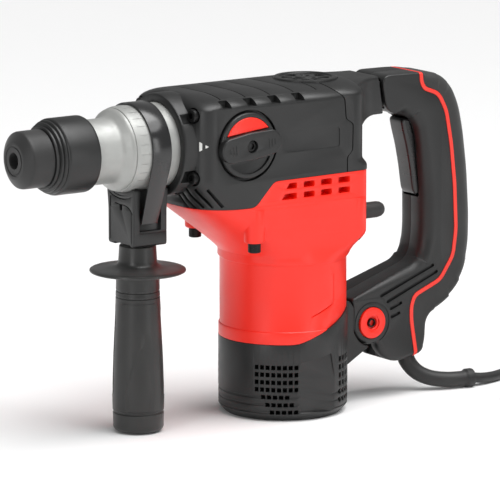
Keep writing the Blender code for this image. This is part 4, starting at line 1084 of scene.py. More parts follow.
@dataclass
class NoseAndChuck(Assembly):
    """Pale casting, black locking sleeve, rubber dust cap and the spindle end."""

    centre: Corner = DRILL_AXIS

    def build(self) -> None:
        """Turn each piece on the drill axis."""
        casting = [(-179.0, 17.8), (-179.0, 22.6), (-178.2, 23.8), (-177.0, 24.0), (-159.5, 24.0), (-157.6, 24.5),
                   (-156.0, 25.7), (-153.6, 28.4), (-152.4, 29.6), (-151.2, 30.1), (-150.4, 30.3), (-150.2, 29.9),
                   (-149.8, 29.9), (-149.6, 30.6), (-148.0, 31.1), (-146.0, 31.5), (-113.0, 31.5), (-112.6, 31.2),
                   (-112.2, 31.5), (-96.0, 31.5), (-96.0, 29.0), (-150.0, 27.0), (-156.0, 19.8), (-164.0, 19.8),
                   (-164.0, 17.8)]
        nose = Bench.turned("nose_collar", casting, Axis.X, self.centre, 128)
        tick = Bench.block("tick", (-147.0, -0.2, 31.25), (-139.6, 0.2, 33.0))
        ticks = [Bench.copied(tick, "tick", Matrix.Translation(self.centre)
                              @ Matrix.Rotation(math.tau * n / 28.0, 4, "X")) for n in range(28)]
        bpy.data.objects.remove(tick, do_unlink=True)
        Bench.cut(nose, *ticks)
        self.dress(Bench.soften(nose, 0.0), CASTING, Body.HOUSING, "nose_casting")
        sleeve = [(-213.5, 15.6), (-213.5, 22.4), (-213.0, 23.0), (-211.8, 23.1), (-211.2, 22.7), (-211.0, 23.8),
                  (-210.5, 25.0), (-209.3, 25.3), (-208.7, 24.8), (-208.4, 25.8), (-207.9, 26.6), (-206.7, 26.9),
                  (-206.2, 26.3), (-205.8, 27.1), (-205.0, 27.8),
                  (-204.0, 28.0), (-181.0, 28.0), (-180.0, 27.9), (-178.8, 27.3), (-178.3, 26.6), (-178.2, 25.2),
                  (-203.0, 24.8), (-203.6, 15.6)]
        self.dress(Bench.soften(Bench.turned("chuck_sleeve", sleeve, Axis.X, self.centre, 128), 0.0),
                   BLACK_SHELL, Body.SLEEVE, "locking_sleeve")
        cap = [(-236.0, 6.1), (-236.0, 9.6), (-235.4, 9.9), (-235.4, 10.9), (-235.9, 11.2), (-236.0, 13.2),
               (-235.7, 13.9), (-232.0, 19.9), (-231.3, 20.6), (-230.2, 20.9), (-227.0, 21.0), (-214.0, 21.0),
               (-214.0, 16.0), (-215.0, 12.0), (-228.2, 12.0), (-228.6, 6.4)]
        self.dress(Bench.soften(Bench.turned("chuck_dust_cap", cap, Axis.X, self.centre, 128), 0.0),
                   DUST_RUBBER, Body.SPINDLE, "dust_cap")
        spindle = [(-227.5, 5.1), (-227.5, 10.0), (-226.0, 11.5), (-180.0, 11.5), (-180.0, 14.0), (-160.0, 14.0),
                   (-158.0, 17.0), (-33.0, 17.0), (-33.0, 13.6), (-150.0, 13.6), (-154.0, 8.4), (-168.0, 8.4),
                   (-170.0, 5.1)]
        steel = Bench.turned("spindle_tube", spindle, Axis.X, self.centre, 96)
        balls = [Bench.rod("ball_pocket", -200.2, -193.8, 2.6, Axis.X, (0.0, side * 10.4, DRILL_Z), 24)
                 for side in (-1.0, 1.0)]
        Bench.cut(steel, *balls)
        self.dress(Bench.soften(steel, 0.2), TURNED_STEEL, Body.SPINDLE, "tool_spindle")


# ---------------------------------------------------------------- selector


@dataclass
class Selector(Assembly):
    """Mode knob: a disc with a raised finger bar and a red release flush with it."""

    centre: Corner = (-63.8, 0.0, 212.0)
    tilt: float = 6.0

    def turned_outline(self, points: Outline) -> list[Point]:
        """Turn an outline by the knob's tilt and move it to the knob's centre."""
        c, s = math.cos(math.radians(self.tilt)), math.sin(math.radians(self.tilt))
        return [(self.centre[0] + u * c - v * s, self.centre[2] + u * s + v * c) for u, v, *_ in points]

    def build(self) -> None:
        """Disc with a hollowed face, bar, release and screw."""
        disc = [(-47.6, 0.0), (-47.6, 22.6), (-47.3, 23.6), (-46.5, 24.2), (-45.5, 24.4), (-42.6, 24.4), (-42.6, 0.0)]
        knob = Bench.turned("selector_disc", disc, Axis.Y, self.centre, 128)
        lower = eased(
            arc((0.0, 0.0), 20.8, 211.5, 328.5, 22), 1.2, 3)
        Bench.cut(knob, Bench.plate("lower_hollow", self.turned_outline(lower), -60.0, -45.4))
        upper = eased(
            arc((0.0, 0.0), 21.2, 27.0, 153.0, 22), 1.2, 3)
        Bench.cut(knob, Bench.plate("upper_hollow", self.turned_outline(upper), -60.0, -45.0))
        bar = filleted(arc((17.0, 0.0), 9.3, -78.0, 78.0, 14) + [(0.0, 10.2)] + arc((-17.0, 0.0), 9.3, 102.0, 258.0, 14)
                       + [(0.0, -10.2)], 1.0, 2)
        Bench.weld(knob, Bench.plate("finger_bar", self.turned_outline(bar), -52.0, -45.0, Axis.Y, 1.4, 4))
        marks = []
        for side in (-1.0, 1.0):
            for step in range(3):
                u = side * (14.5 + 2.6 * step)
                marks.append(Bench.plate("bar_mark", self.turned_outline(
                    [(u - 0.45, -3.6 + 0.8 * step), (u + 0.45, -3.6 + 0.8 * step), (u + 0.45, 3.6 - 0.8 * step),
                     (u - 0.45, 3.6 - 0.8 * step)]), -60.0, -51.7))
        seat = Bench.rod("screw_seat", -60.0, -48.6, 4.7, Axis.Y, self.centre, 48)
        Bench.cut(knob, seat, *marks)
        Bench.soften(knob, 0.3)
        self.dress(knob, BLACK_SHELL, Body.SELECTOR, "selector_knob")
        release_outline = filleted(arc((0.0, 0.0), 20.9, 28.5, 151.5, 22), 1.0, 3)
        release = Bench.plate("selector_release", self.turned_outline(release_outline), -48.0, -45.1, Axis.Y, 0.7, 3)
        self.dress(Bench.soften(release, 0.0), RED_SHELL, Body.SELECTOR)
        self.dress(socket_screw("selector_cap_screw", Axis.Y, -50.6, -48.2, self.centre, 4.3),
                   BLACK_SCREW, Body.SELECTOR, "selector_screw", keep_lining=True)


# ---------------------------------------------------------------- rear handle


@dataclass
class LoopHandle(Assembly):
    """Damped rear handle: two shells, soft cover, red edging, trigger and pivot."""

    half: float = 19.0
    pivot: Point = PIVOT
    crest: tuple[Corner, ...] = (
        (76.9, 247.5, 1.5), (108.0, 247.4, 2.2), (126.0, 246.0, 8.0), (139.5, 241.6, 12.0), (149.0, 232.5, 13.0),
        (155.3, 219.0, 13.0), (159.6, 200.0, 13.0), (163.6, 170.0, 13.0), (166.0, 134.0, 13.0), (165.6, 110.0, 13.0),
        (161.2, 90.0, 12.0), (151.5, 75.6, 10.0), (138.0, 66.0, 7.0), (121.8, 59.5, 5.0), (120.8, 41.0, 5.0),
        (118.0, 31.5, 4.5), (108.0, 29.0, 4.5), (97.0, 27.0, 4.5), (88.5, 28.0, 4.5), (81.0, 32.5, 4.5),
        (75.5, 39.0, 4.5))
    front: tuple[Corner, ...] = (
        (52.0, 58.0, 2.0), (52.0, 74.0, 2.0), (50.0, 80.0, 2.5), (111.0, 101.0, 8.0), (117.0, 109.0, 11.0),
        (119.0, 124.0, 12.0), (118.8, 149.5, 12.0), (118.6, 156.0, 12.0), (114.6, 196.0, 10.0), (111.0, 208.0, 11.0),
        (103.0, 215.8, 8.0), (82.0, 218.7, 1.5))
    trim_line: tuple[Point, ...] = (
        (113.0, 253.0), (114.0, 239.5), (117.0, 234.4), (130.0, 229.6), (137.6, 216.0), (142.5, 190.0), (146.0, 159.0),
        (147.6, 124.0), (145.0, 104.0), (133.0, 86.5), (109.0, 77.0), (105.8, 69.0), (105.8, 58.0), (110.5, 31.0),
        (112.0, 18.0))

    @property
    def pivot_centre(self) -> Corner:
        """The pivot's middle in space."""
        return (self.pivot[0], 0.0, self.pivot[1])

    def outline(self) -> list[tuple[float, ...]]:
        """Side outline with smooth corners, each point with its edge rounding."""
        lobe = [(x, z, 4.5) for x, z in arc(self.pivot, 17.0, -72.0, -150.0, 6)]
        return filleted([*self.crest, *lobe, *self.front], 9.0, 6)

    def solid(self, name: str, proud: float = 0.0) -> Piece:
        """The whole handle as one rounded solid."""
        line = self.outline()
        return Bench.plate(name, line, -self.half - proud, self.half + proud, Axis.Y, [p[2] for p in line], 7)

    def edging(self, shift: float) -> list[Point]:
        """The edging's line, moved forward or back."""
        return beside(eased(self.trim_line, 5.0, 6, closed=False), shift)

    def zone(self, name: str, line: list[Point], behind: bool) -> Piece:
        """Everything behind or ahead of the edging."""
        far = [(230.0, 18.0), (230.0, 280.0), (113.0, 280.0)] if behind else [(0.0, 18.0), (0.0, 280.0), (113.0, 280.0)]
        return Bench.plate(name, line + far, -40.0, 40.0)

    def build_shells(self) -> None:
        """Left and right shells, with grip grooves, trigger slot, mouth and pivot seats."""
        for name, node, side in (("left_shell", "handle_left_shell", -1.0), ("right_shell", "handle_right_shell", 1.0)):
            body = self.solid(name)
            low, high = sorted((-side * 40.0, side * 0.15))
            Bench.cut(body, Bench.block("other_half", (20.0, low, 0.0), (240.0, high, 300.0)))
            Bench.cut(body, self.zone("rear_zone", self.edging(-1.75), True))
            Bench.hollow(body, Bench.block("trigger_slot", (95.0, -9.6, 150.0), (132.0, 9.6, 212.6), 1.0))
            fork = Bench.plate("fork", [(30.0, 30.0), (86.0, 30.0), (86.0, 76.4), (30.0, 76.4)], -10.0, 10.0)
            Bench.hollow(body, fork)
            mouth = Bench.block("mouth", (60.0, -15.3, 221.3), (92.0, 15.3, 244.5), 2.0)
            Bench.hollow(body, mouth)
            seat_low, seat_high = span(side, 16.6, 30.0)
            seat = Bench.rod("cap_seat", seat_low, seat_high, 12.3, Axis.Y, self.pivot_centre, 96)
            Bench.cut(body, seat)
            Bench.hollow(body, self.cord_outlet())
            Bench.hollow(body, *self.grooves(side))
            Bench.cut(body, self.boss_line(side))
            Bench.soften(body, 0.35)
            self.dress(body, BLACK_SHELL, Body.REAR_HANDLE, node, keep_lining=True)

    def grooves(self, side: float) -> list[Piece]:
        """Two long grooves and two short ones beside the pivot, on the lower arm."""
        runs = (((76.5, 79.6), (127.0, 98.6)), ((82.5, 74.4), (130.6, 93.4)), ((85.6, 68.8), (97.0, 72.8)),
                ((86.4, 62.4), (95.4, 65.2)))
        made = []
        for start, end in runs:
            line = [start, end]
            outline = filleted(beside(line, 1.25) + list(reversed(beside(line, -1.25))), 1.1, 3)
            low, high = span(side, 16.4, 30.0)
            made.append(Bench.plate("groove", [p[:2] for p in outline], low, high))
        return made

    @staticmethod
    def cord_outlet() -> Piece:
        """The hole that the cord's sleeve comes out of."""
        return Bench.rod("outlet", 16.0, 46.0, 8.2, Axis.Z, (113.2, 0.0, 0.0))

    def boss_line(self, side: float) -> Piece:
        """A fine ring groove that draws the pivot boss."""
        low, high = span(side, 18.4, 30.0)
        return Bench.turned("boss_line", [(low, 15.4), (low, 16.3), (high, 16.3), (high, 15.4)], Axis.Y,
                            self.pivot_centre, 96)

    def build_cover(self) -> None:
        """Soft cover over the back, and the red edging between it and the shells."""
        cover = self.solid("soft_cover")
        Bench.cut(cover, self.zone("front_zone", self.edging(1.75), False))
        Bench.hollow(cover, self.cord_outlet())
        Bench.soften(cover, 0.3)
        self.dress(cover, SOFT_GRIP, Body.REAR_HANDLE, "handle_grip_cover", keep_lining=True)
        edging = self.solid("red_edging", 0.35)
        band = self.edging(-1.5) + list(reversed(self.edging(1.5)))
        Bench.trim(edging, Bench.plate("band", band, -40.0, 40.0))
        Bench.cut(edging, Bench.block("outlet_gap", (100.0, -13.0, 15.0), (126.0, 13.0, 31.0)))
        Bench.soften(edging, 0.3)
        self.dress(edging, RED_TRIM, Body.REAR_HANDLE, "handle_trim")

    def build_pivot(self) -> None:
        """Red caps with stepped sockets over both ends of the pivot."""
        for name, node, side in (("left_pivot_cap", "pivot_cap_left", -1.0),
                                 ("right_pivot_cap", "pivot_cap_right", 1.0)):
            profile = [(16.9, 0.0), (16.9, 11.8), (19.8, 11.8), (20.35, 11.5), (20.6, 10.9), (20.6, 6.4), (20.4, 6.0),
                       (19.3, 5.9), (19.1, 4.9), (18.8, 4.6), (17.4, 4.5), (17.4, 0.0)]
            cap = Bench.turned(name, [(side * along, radius) for along, radius in profile], Axis.Y,
                               self.pivot_centre, 96)
            bolt = socket_screw(f"{name}_bolt", Axis.Y, side * 19.6, side * 17.3, self.pivot_centre, 3.4)
            self.dress(bolt, BLACK_SCREW, Body.REAR_HANDLE, keep_lining=True)
            self.dress(Bench.soften(cap, 0.0), RED_SHELL, Body.REAR_HANDLE, node)

    def build_trigger(self) -> None:
        """Trigger with a rounded finger face."""
        outline = filleted([(103.2, 211.4), (104.9, 203.0), (108.6, 190.0), (111.9, 174.0), (114.0, 160.0),
                            (114.9, 155.0), (117.4, 151.4), (126.0, 153.2), (124.0, 211.8)], 4.0, 5)
        body = Bench.plate("finger_trigger", outline, -8.8, 8.8, Axis.Y, 2.4, 6)
        Bench.soften(body, 0.0)
        self.dress(body, GLOSS_BLACK, Body.TRIGGER, "trigger")

    def build_bellows(self) -> None:
        """Rubber bellows between the upper arm and the handle."""
        loops = []
        for x, tight in ((70.5, 0.0), (72.0, 0.9), (74.0, 1.6), (76.0, 0.9), (77.5, 0.0), (79.0, 0.9), (81.0, 1.6),
                         (83.0, 0.9), (84.5, 0.0), (86.0, 0.6), (88.0, 1.0), (91.0, 0.6)):
            outline = filleted([(-14.9 + tight, 221.9 + tight), (14.9 - tight, 221.9 + tight),
                                (14.9 - tight, 243.9 - tight), (-14.9 + tight, 243.9 - tight)], 3.0, 5)
            loops.append([Vector((x, y, z)) for y, z, *_ in outline])
        bellows = Bench.stacked("damper_bellows", loops)
        Bench.soften(bellows, 0.0)
        self.dress(bellows, DUST_RUBBER, Body.HOUSING, "damper_boot")

    def build(self) -> None:
        """Make the handle's pieces from the core outwards."""
        self.build_shells()
        self.build_cover()
        self.build_pivot()
        self.build_trigger()
        self.build_bellows()


# ---------------------------------------------------------------- side handle


@dataclass
class SideHandle(Assembly):
    """Band and block clamped round the nose, with the screwed grip under it."""

    x: float = -130.0
    pad_turn: float = -120.0

    def build_band(self) -> None:
        """The bent band and its two straight legs."""
        axis = (0.0, DRILL_Z)
        outer = arc(axis, 33.4, -17.5, 197.5, 72)
        inner = arc(axis, 31.95, 197.5, -17.5, 72)
        outline = [(17.4, 157.0)] + outer + [(-17.4, 157.0), (-15.9, 157.0)] + inner + [(15.9, 157.0)]
        band = Bench.plate("clamp_band", outline, self.x - 8.0, self.x + 8.0, Axis.X)
        Bench.cut(band, Bench.plate("leg_taper", [(self.x + 8.0, 201.0), (self.x + 12.0, 201.0), (self.x + 12.0, 140.0),
                                                  (self.x + 4.9, 140.0)], -40.0, 40.0))
        Bench.soften(band, 0.25)
        self.dress(band, BAND_BLACK, Body.SIDE_CLAMP, "clamp_strap")

    def build_block(self) -> None:
        """The block with its cradle, side windows and front plate."""
        front, back = self.x - 14.5, self.x + 14.5
        outline = filleted([(-17.0, 140.0), (17.0, 140.0), (17.0, 166.0), (17.6, 172.0), (19.0, 183.0), (-19.0, 183.0),
                            (-17.6, 172.0), (-17.0, 166.0)], 2.6, 4)
        block = Bench.plate("clamp_body", [p[:2] for p in outline], front, back, Axis.X, 0.9, 3)
        Bench.cut(block, Bench.rod("cradle", -160.0, -100.0, 31.95, Axis.X, DRILL_AXIS, 128))
        for side in (-1.0, 1.0):
            low, high = span(side, 13.0, 30.0)
            window = Bench.block("window", (self.x - 9.6, low, 151.4), (self.x + 9.2, high, 200.0), 0.5)
            Bench.hollow(block, window)
            low, high = span(side, 16.4, 30.0)
            Bench.cut(block, Bench.block("side_step", (self.x - 9.6, low, 149.6), (self.x + 20.0, high, 151.5)))
        self.cut_front_plate(block)
        hook_line = filleted([(7.6, 170.6), (2.0, 170.0), (-6.0, 170.2), (-11.5, 168.6), (-15.2, 164.6)], 3.0, 5, False)
        line = [p[:2] for p in hook_line]
        hook = Bench.plate("hook", beside(line, 0.35) + list(reversed(beside(line, -0.35))), front - 5.0, front + 1.3,
                           Axis.X)
        Bench.hollow(block, hook)
        catch = Bench.plate("catch", eased([(1.9, 170.1), (-2.2, 170.1), (-1.6, 166.2), (0.0, 165.4),
                                                               (1.4, 166.6)], 1.0, 3), front - 5.0, front + 2.2, Axis.X)
        Bench.hollow(block, catch)
        Bench.hollow(block, Bench.rod("stud_hole", 130.0, 168.0, 5.4, Axis.Z, (self.x, 0.0, 0.0)))
        foot = Bench.block("foot_gap", (front - 2.0, -12.5, 135.0), (front + 6.0, 9.0, 141.6), 0.6)
        Bench.cut(block, foot)
        Bench.soften(block, 0.3)
        self.dress(block, BLACK_SHELL, Body.SIDE_CLAMP, "clamp_block", keep_lining=True)

    def cut_front_plate(self, block: Piece) -> None:
        """Arched groove under the cradle, and the slot and fine line beside the front plate."""
        front = self.x - 14.5
        axis = (0.0, DRILL_Z)
        arch = arc(axis, 36.9, -112.5, -66.0, 24) + arc(axis, 36.1, -66.0, -112.5, 24)
        grooves = [Bench.plate("arch", arch, front - 5.0, front + 1.5, Axis.X),
                   Bench.plate("lens", arc(axis, 34.4, -106.0, -74.0, 16) + arc(axis, 33.9, -74.0, -106.0, 16),
                               front - 5.0, front + 0.7, Axis.X)]
        for y in (-13.6, 13.6):
            grooves.append(Bench.block("plate_line", (front - 5.0, y - 0.3, 143.0), (front + 0.8, y + 0.3, 166.5)))
        slot = Bench.block("plate_slot", (front - 5.0, 12.9, 167.0), (front + 3.4, 14.2, 175.0))
        Bench.cut(block, *grooves)
        Bench.hollow(block, slot)

    def radius_at(self, z: float) -> float:
        """Radius of the grip at a height."""
        points = ((1.0, 16.6), (3.0, 18.8), (24.0, 19.5), (34.0, 19.6), (60.0, 18.8), (90.0, 17.2), (118.0, 15.7))
        for (low, start), (high, end) in zip(points, points[1:]):
            if z <= high:
                return start + (end - start) * (z - low) / (high - low)
        return points[-1][1]

    def build_grip(self) -> None:
        """Turned grip with ring grooves, raised pads and hollow flanks."""
        profile: list[Point] = [(1.0, 0.0), (1.0, 15.4), (1.3, 16.4), (2.0, 17.6), (3.0, 18.3), (4.4, 18.7)]
        for z in (10.0, 14.4):
            profile.append((z, self.radius_at(z) - 0.35))
        profile += [(15.0, self.radius_at(15.0) - 1.1), (16.0, self.radius_at(16.0) - 1.1)]
        for z in (16.6, 22.0, 28.0, 34.0, 40.0, 48.0, 56.0, 64.0, 72.0, 80.0, 88.0, 96.0, 99.6):
            profile.append((z, self.radius_at(z) - 0.35))
        for middle in (101.0, 105.4):
            profile += [(middle - 0.75, self.radius_at(middle) - 0.25), (middle - 0.4, self.radius_at(middle) - 0.95),
                        (middle + 0.4, self.radius_at(middle) - 0.95), (middle + 0.75, self.radius_at(middle) - 0.25)]
        profile += [(112.0, 16.0), (116.5, 16.1), (117.8, 17.6), (118.5, 22.0), (118.7, 31.0), (119.0, 34.2),
                    (119.5, 35.1), (120.2, 35.4), (120.9, 35.2), (121.4, 34.4), (121.9, 31.0), (122.5, 24.0),
                    (123.2, 18.4), (124.2, 15.7), (125.6, 14.6), (128.0, 14.2), (138.3, 13.6), (139.1, 13.0),
                    (139.3, 12.0), (139.3, 5.6), (92.0, 5.6), (92.0, 0.0)]
        centre = (self.x, 0.0, 0.0)
        grip = Bench.turned("grip", profile, Axis.Z, centre, 112)
        for turn in (self.pad_turn, self.pad_turn + 180.0):
            Bench.weld(grip, self.pad(turn))
            Bench.cut(grip, self.flank(turn + 90.0))
        Bench.soften(grip, 0.22, 2, 40.0)
        self.dress(grip, HARD_GRIP, Body.SIDE_GRIP, "side_grip")

    def wedge(self, name: str, outline: Sequence[Point], turn: float, inner: float, outer: float) -> Piece:
        """A solid whose outline is given as angle and height, from one radius to another."""
        loops = []
        for radius in (inner, outer):
            loops.append([Vector((self.x + radius * math.cos(math.radians(turn + a)),
                                  radius * math.sin(math.radians(turn + a)), z)) for a, z in outline])
        return Bench.stacked(name, loops)

    def pad(self, turn: float) -> Piece:
        """A slightly raised finger pad with rounded ends."""
        profile: list[Point] = [(8.0, 0.0), (8.0, self.radius_at(8.0) + 0.1)]
        profile += [(z, self.radius_at(z) + 0.12) for z in (20.0, 30.0, 40.0, 52.0, 64.0, 76.0, 88.0, 97.0)]
        profile += [(99.0, 0.0)]
        raised = Bench.turned("pad", profile, Axis.Z, (self.x, 0.0, 0.0), 112)
        outline = filleted([(-55.0, 20.5), (-48.0, 17.2), (48.0, 17.2), (55.0, 20.5), (59.0, 90.0), (50.0, 97.5),
                            (-50.0, 97.5), (-59.0, 90.0)], 9.0, 6)
        steps: list[Point] = []
        for (a0, z0, *_), (a1, z1, *_) in zip(outline, outline[1:] + outline[:1]):
            pieces = max(1, int(abs(a1 - a0) // 6.0) + 1)
            steps += [(a0 + (a1 - a0) * n / pieces, z0 + (z1 - z0) * n / pieces) for n in range(pieces)]
        return Bench.trim(raised, self.wedge("pad_outline", steps, turn, 12.0, 24.0))

    def flank(self, turn: float) -> Piece:
        """The shallow hollow between two pads."""
        outline = eased([(-15.0, 27.0), (15.0, 27.0), (15.0, 91.0), (-15.0, 91.0)], 6.0, 6)
        loops = []
        for lift in (-1.25, 8.0):
            loops.append([Vector((self.x + (self.radius_at(z) + lift) * math.cos(math.radians(turn + a)),
                                  (self.radius_at(z) + lift) * math.sin(math.radians(turn + a)), z))
                          for a, z in outline])
        return Bench.stacked("flank", loops)

    def build(self) -> None:
        """Band, block, then grip."""
        self.build_band()
        self.build_block()
        self.build_grip()


# ---------------------------------------------------------------- mains lead


@dataclass
class MainsLead(Assembly):
    """Lead with its bend sleeve, the wound store of its length, a tie and a plug."""

    radius: float = 4.0
    length: float = 2.13
    coil_middle: Point = (280.0, -32.0)
    plug_y: float = -84.0
    wide: float = 52.0
    narrow: float = 44.0
    turns: float = 6.5
    outlet: tuple[Corner, ...] = ((163.9, -20.3, 6.6), (172.0, -20.4, 5.4), (184.0, -18.0, 4.3), (198.0, -13.2, 4.0),
                                  (215.0, -5.4, 4.0), (230.0, 2.5, 4.0))
    approach: tuple[Corner, ...] = ((241.0, 8.4, 4.0), (254.0, 14.4, 4.0), (267.0, 18.6, 4.0), (278.0, 20.0, 4.0))
    tail: tuple[Corner, ...] = ((256.0, -84.0, 27.6), (249.2, -84.0, 26.5), (240.0, -84.0, 22.0),
                                (230.0, -84.0, 17.0), (222.0, -84.0, 14.5))
    sleeve: tuple[Corner, ...] = ((113.0, 0.0, 40.0), (113.3, -0.4, 30.0), (115.2, -2.6, 21.5), (120.5, -7.0, 14.0),
                                  (129.0, -12.0, 9.4), (140.5, -16.5, 7.3), (152.0, -19.0, 6.8), (163.0, -20.2, 6.8))

    @staticmethod
    def smooth(points: Outline, steps: int) -> Loop:
        """Points along a smooth line through the given ones."""
        knots = [Vector(p) for p in points]
        knots = [knots[0] * 2 - knots[1]] + knots + [knots[-1] * 2 - knots[-2]]
        line = []
        for index in range(1, len(knots) - 2):
            before, here, there, after = knots[index - 1:index + 3]
            for step in range(steps):
                t = step / steps
                line.append(0.5 * (2 * here + (there - before) * t + (2 * before - 5 * here + 4 * there - after) * t * t
                                   + (3 * here - before - 3 * there + after) * t ** 3))
        return line + [knots[-2]]

    def coil(self) -> Loop:
        """Turns lying beside and on each other, a diameter apart."""
        changes = ((312.0, 357.0, -8.0, 0.0), (610.0, 660.0, 0.0, 8.0), (910.0, 960.0, 8.0, 0.0),
                   (1210.0, 1260.0, 0.0, 8.0), (1510.0, 1560.0, -8.0, 0.0), (1810.0, 1860.0, 0.0, 8.0),
                   (2110.0, 2160.0, 8.0, 0.0))
        line = []
        angle = 10.0
        while angle <= 360.0 * self.turns - 5.0:
            reach = self.wide + sum(blended(0.0, out, (angle - low) / (high - low)) for low, high, out, _ in changes)
            height = self.radius + sum(blended(0.0, up, (angle - low) / (high - low)) for low, high, _, up in changes)
            turn = math.radians(angle)
            line.append(Vector((self.coil_middle[0] + reach * math.sin(turn),
                                self.coil_middle[1] + reach * math.cos(turn), height)))
            angle += 10.0
        return line

    def route(self) -> Loop:
        """The whole lead from the sleeve to the plug."""
        start = self.smooth(self.outlet + self.approach, 4)
        end = [Vector((280.0, -84.0, 28.0)), Vector((271.0, -84.0, 28.0)), Vector((262.0, -84.0, 27.9))]
        return start + self.coil() + end + self.smooth(self.tail, 4)

    def build_lead(self, pieces: list[Piece]) -> None:
        """The lead itself, a round curve."""
        line = self.route()
        measured = sum((b - a).length for a, b in zip(line, line[1:])) * MM
        LOG.info("the lead measures %.4f m", measured)
        curve = bpy.data.curves.new("mains_lead", "CURVE")
        curve.dimensions = "3D"
        curve.bevel_depth = self.radius * MM
        curve.bevel_resolution = 6
        curve.use_fill_caps = True
        spline = curve.splines.new("POLY")
        spline.points.add(len(line) - 1)
        for point, place in zip(spline.points, line):
            point.co = (*(place * MM), 1.0)
        spline.use_smooth = True
        lead = bpy.data.objects.new("mains_lead", curve)
        bpy.context.collection.objects.link(lead)
        self.dress(lead, CORD_JACKET, Body.REAR_HANDLE, "cord", "cord_coil")

    @staticmethod
    def tube(name: str, line: Loop, radii: Sequence[float], sides: int = 40) -> Piece:
        """A solid tube of changing radius along a line."""
        loops = []
        side = Vector((0.0, 1.0, 0.0))
        for index, place in enumerate(line):
            along = (line[min(index + 1, len(line) - 1)] - line[max(index - 1, 0)]).normalized()
            side = (side - along * side.dot(along)).normalized()
            up = along.cross(side)
            loops.append([place + radii[index] * (side * math.cos(math.tau * n / sides)
                                                  + up * math.sin(math.tau * n / sides)) for n in range(sides)])
        return Bench.stacked(name, loops)

    def build_sleeve(self) -> None:
        """The smooth bend sleeve under the handle, with a ring round its end."""
        line = self.smooth(self.sleeve, 10)
        radii = []
        for index in range(len(line)):
            part = index / (len(line) - 1)
            collar = blended(0.0, 1.35, (part - 0.9) / 0.03) * (1.0 if index < len(line) - 1 else 0.75)
            radii.append(7.4 - 1.5 * math.sin(math.pi * 0.5 * min(1.0, part / 0.62)) + collar)
        sleeve = self.tube("bend_sleeve", line, radii)
        Bench.soften(sleeve, 0.0)
        self.dress(sleeve, CORD_JACKET, Body.REAR_HANDLE, "cord_sleeve")

    def build_plug(self) -> Piece:
        """Moulded two-pin plug with finger ribs and its own short sleeve."""
        sections = ((162.0, 16.2, 11.8), (162.5, 16.9, 12.5), (164.0, 17.5, 12.9), (168.0, 17.6, 13.0),
                    (174.0, 17.3, 12.8), (176.0, 16.4, 12.2), (177.5, 16.6, 12.3), (179.0, 15.6, 11.7),
                    (180.5, 15.8, 11.8), (182.0, 14.7, 11.1), (183.5, 14.9, 11.2), (185.0, 13.7, 10.5),
                    (186.5, 13.8, 10.6), (190.0, 11.4, 9.6), (194.0, 8.4, 8.4), (196.0, 7.0, 7.0), (197.0, 6.2, 6.2))
        loops = []
        for x, half, tall in sections:
            outline = plan(-half, half, tall, tall * 0.8, tall * 0.8, 6)
            loops.append([Vector((x + 10.0, self.plug_y + u, 13.3 + v)) for u, v in outline])
        body = Bench.stacked("mains_plug", loops)
        line = [Vector((222.0 - 17.0 * n / 20.0, self.plug_y, 14.5 - 1.1 * n / 20.0)) for n in range(21)]
        radii = [4.4 + 1.8 * n / 20.0 + (0.0 if n % 4 in (0, 1) or n > 17 else -0.7) for n in range(21)]
        Bench.weld(body, self.tube("plug_sleeve", line, [max(4.15, r) for r in radii], 32))
        Bench.soften(body, 0.2)
        pins = []
        for side in (-1.0, 1.0):
            profile = [(153.0, 0.0), (153.0, 1.4), (153.5, 2.0), (154.6, 2.4), (173.5, 2.4), (173.5, 0.0)]
            pins.append(Bench.turned("plug_pin", profile, Axis.X, (0.0, self.plug_y + side * 9.5, 13.3), 32))
        metal = Bench.gathered(*pins)
        metal.name = "plug_pins"
        self.dress(body, CORD_JACKET, Body.REAR_HANDLE, "plug")
        self.dress(Bench.soften(metal, 0.0), TURNED_STEEL, Body.REAR_HANDLE)
        return metal

    def build_tie(self) -> Piece:
        """A flat strap round the wound turns."""
        low, high = self.narrow - self.radius - 0.9, self.wide + self.radius + 0.9
        outline = filleted([(low, 0.0), (high, 0.0), (high, 32.6), (low, 32.6)], 4.5, 6)
        hollow = inset(outline, [1.1] * len(outline))
        band = Bench.plate("lead_tie", [p[:2] for p in outline], -5.0, 5.0)
        Bench.cut(band, Bench.plate("tie_hollow", hollow, -9.0, 9.0))
        turn = math.radians(160.0)
        band.data.transform(Matrix.Translation((self.coil_middle[0] * MM, self.coil_middle[1] * MM, 0.0))
                            @ Matrix.Rotation(turn, 4, "Z"))
        Bench.soften(band, 0.2)
        self.dress(band, DUST_RUBBER, Body.REAR_HANDLE)
        return band

    def build(self) -> None:
        """Plug, tie and sleeve, then the lead that they belong to."""
        pins = self.build_plug()
        tie = self.build_tie()
        self.build_lead([bpy.data.objects["mains_plug"], pins, tie])
        self.build_sleeve()


# ---------------------------------------------------------------- inside and studio


@dataclass
class InnerParts(Assembly):
    """Finishes for the pieces inside, which keep the shapes of their CAD nodes."""

    finishes: tuple[tuple[Finish, tuple[str, ...]], ...] = (
        (UPRIGHT_STEEL, ("armature_shaft", "crank_gear", "layshaft_gear", "clamp_stud", "lower_motor_bearing",
                         "upper_motor_bearing")),
        (TURNED_STEEL, ("spindle_bearing", "spindle_gear", "locking_ball_1", "locking_ball_2", "chuck_spring",
                         "striker", "impact_bolt", "piston", "connecting_rod", "pivot_bolt", "damper_spring")),
        (CORE_STEEL, ("stator", "armature_core")),
        (COPPER, ("commutator",)),
        (CASTING, ("gear_plate",)),
        (CARBON, ("carbon_brush_1", "carbon_brush_2")),
        (GLOSS_BLACK, ("cooling_fan", "switch_body")),
    )

    def build(self) -> None:
        """Give each inner node its finish."""
        for finish, nodes in self.finishes:
            for node in nodes:
                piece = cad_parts[node]
                for slot in piece.material_slots:
                    slot.material = finish.build()
                self.made.append(node)
                LOG.info("%s is finished as %s", node, finish.name)


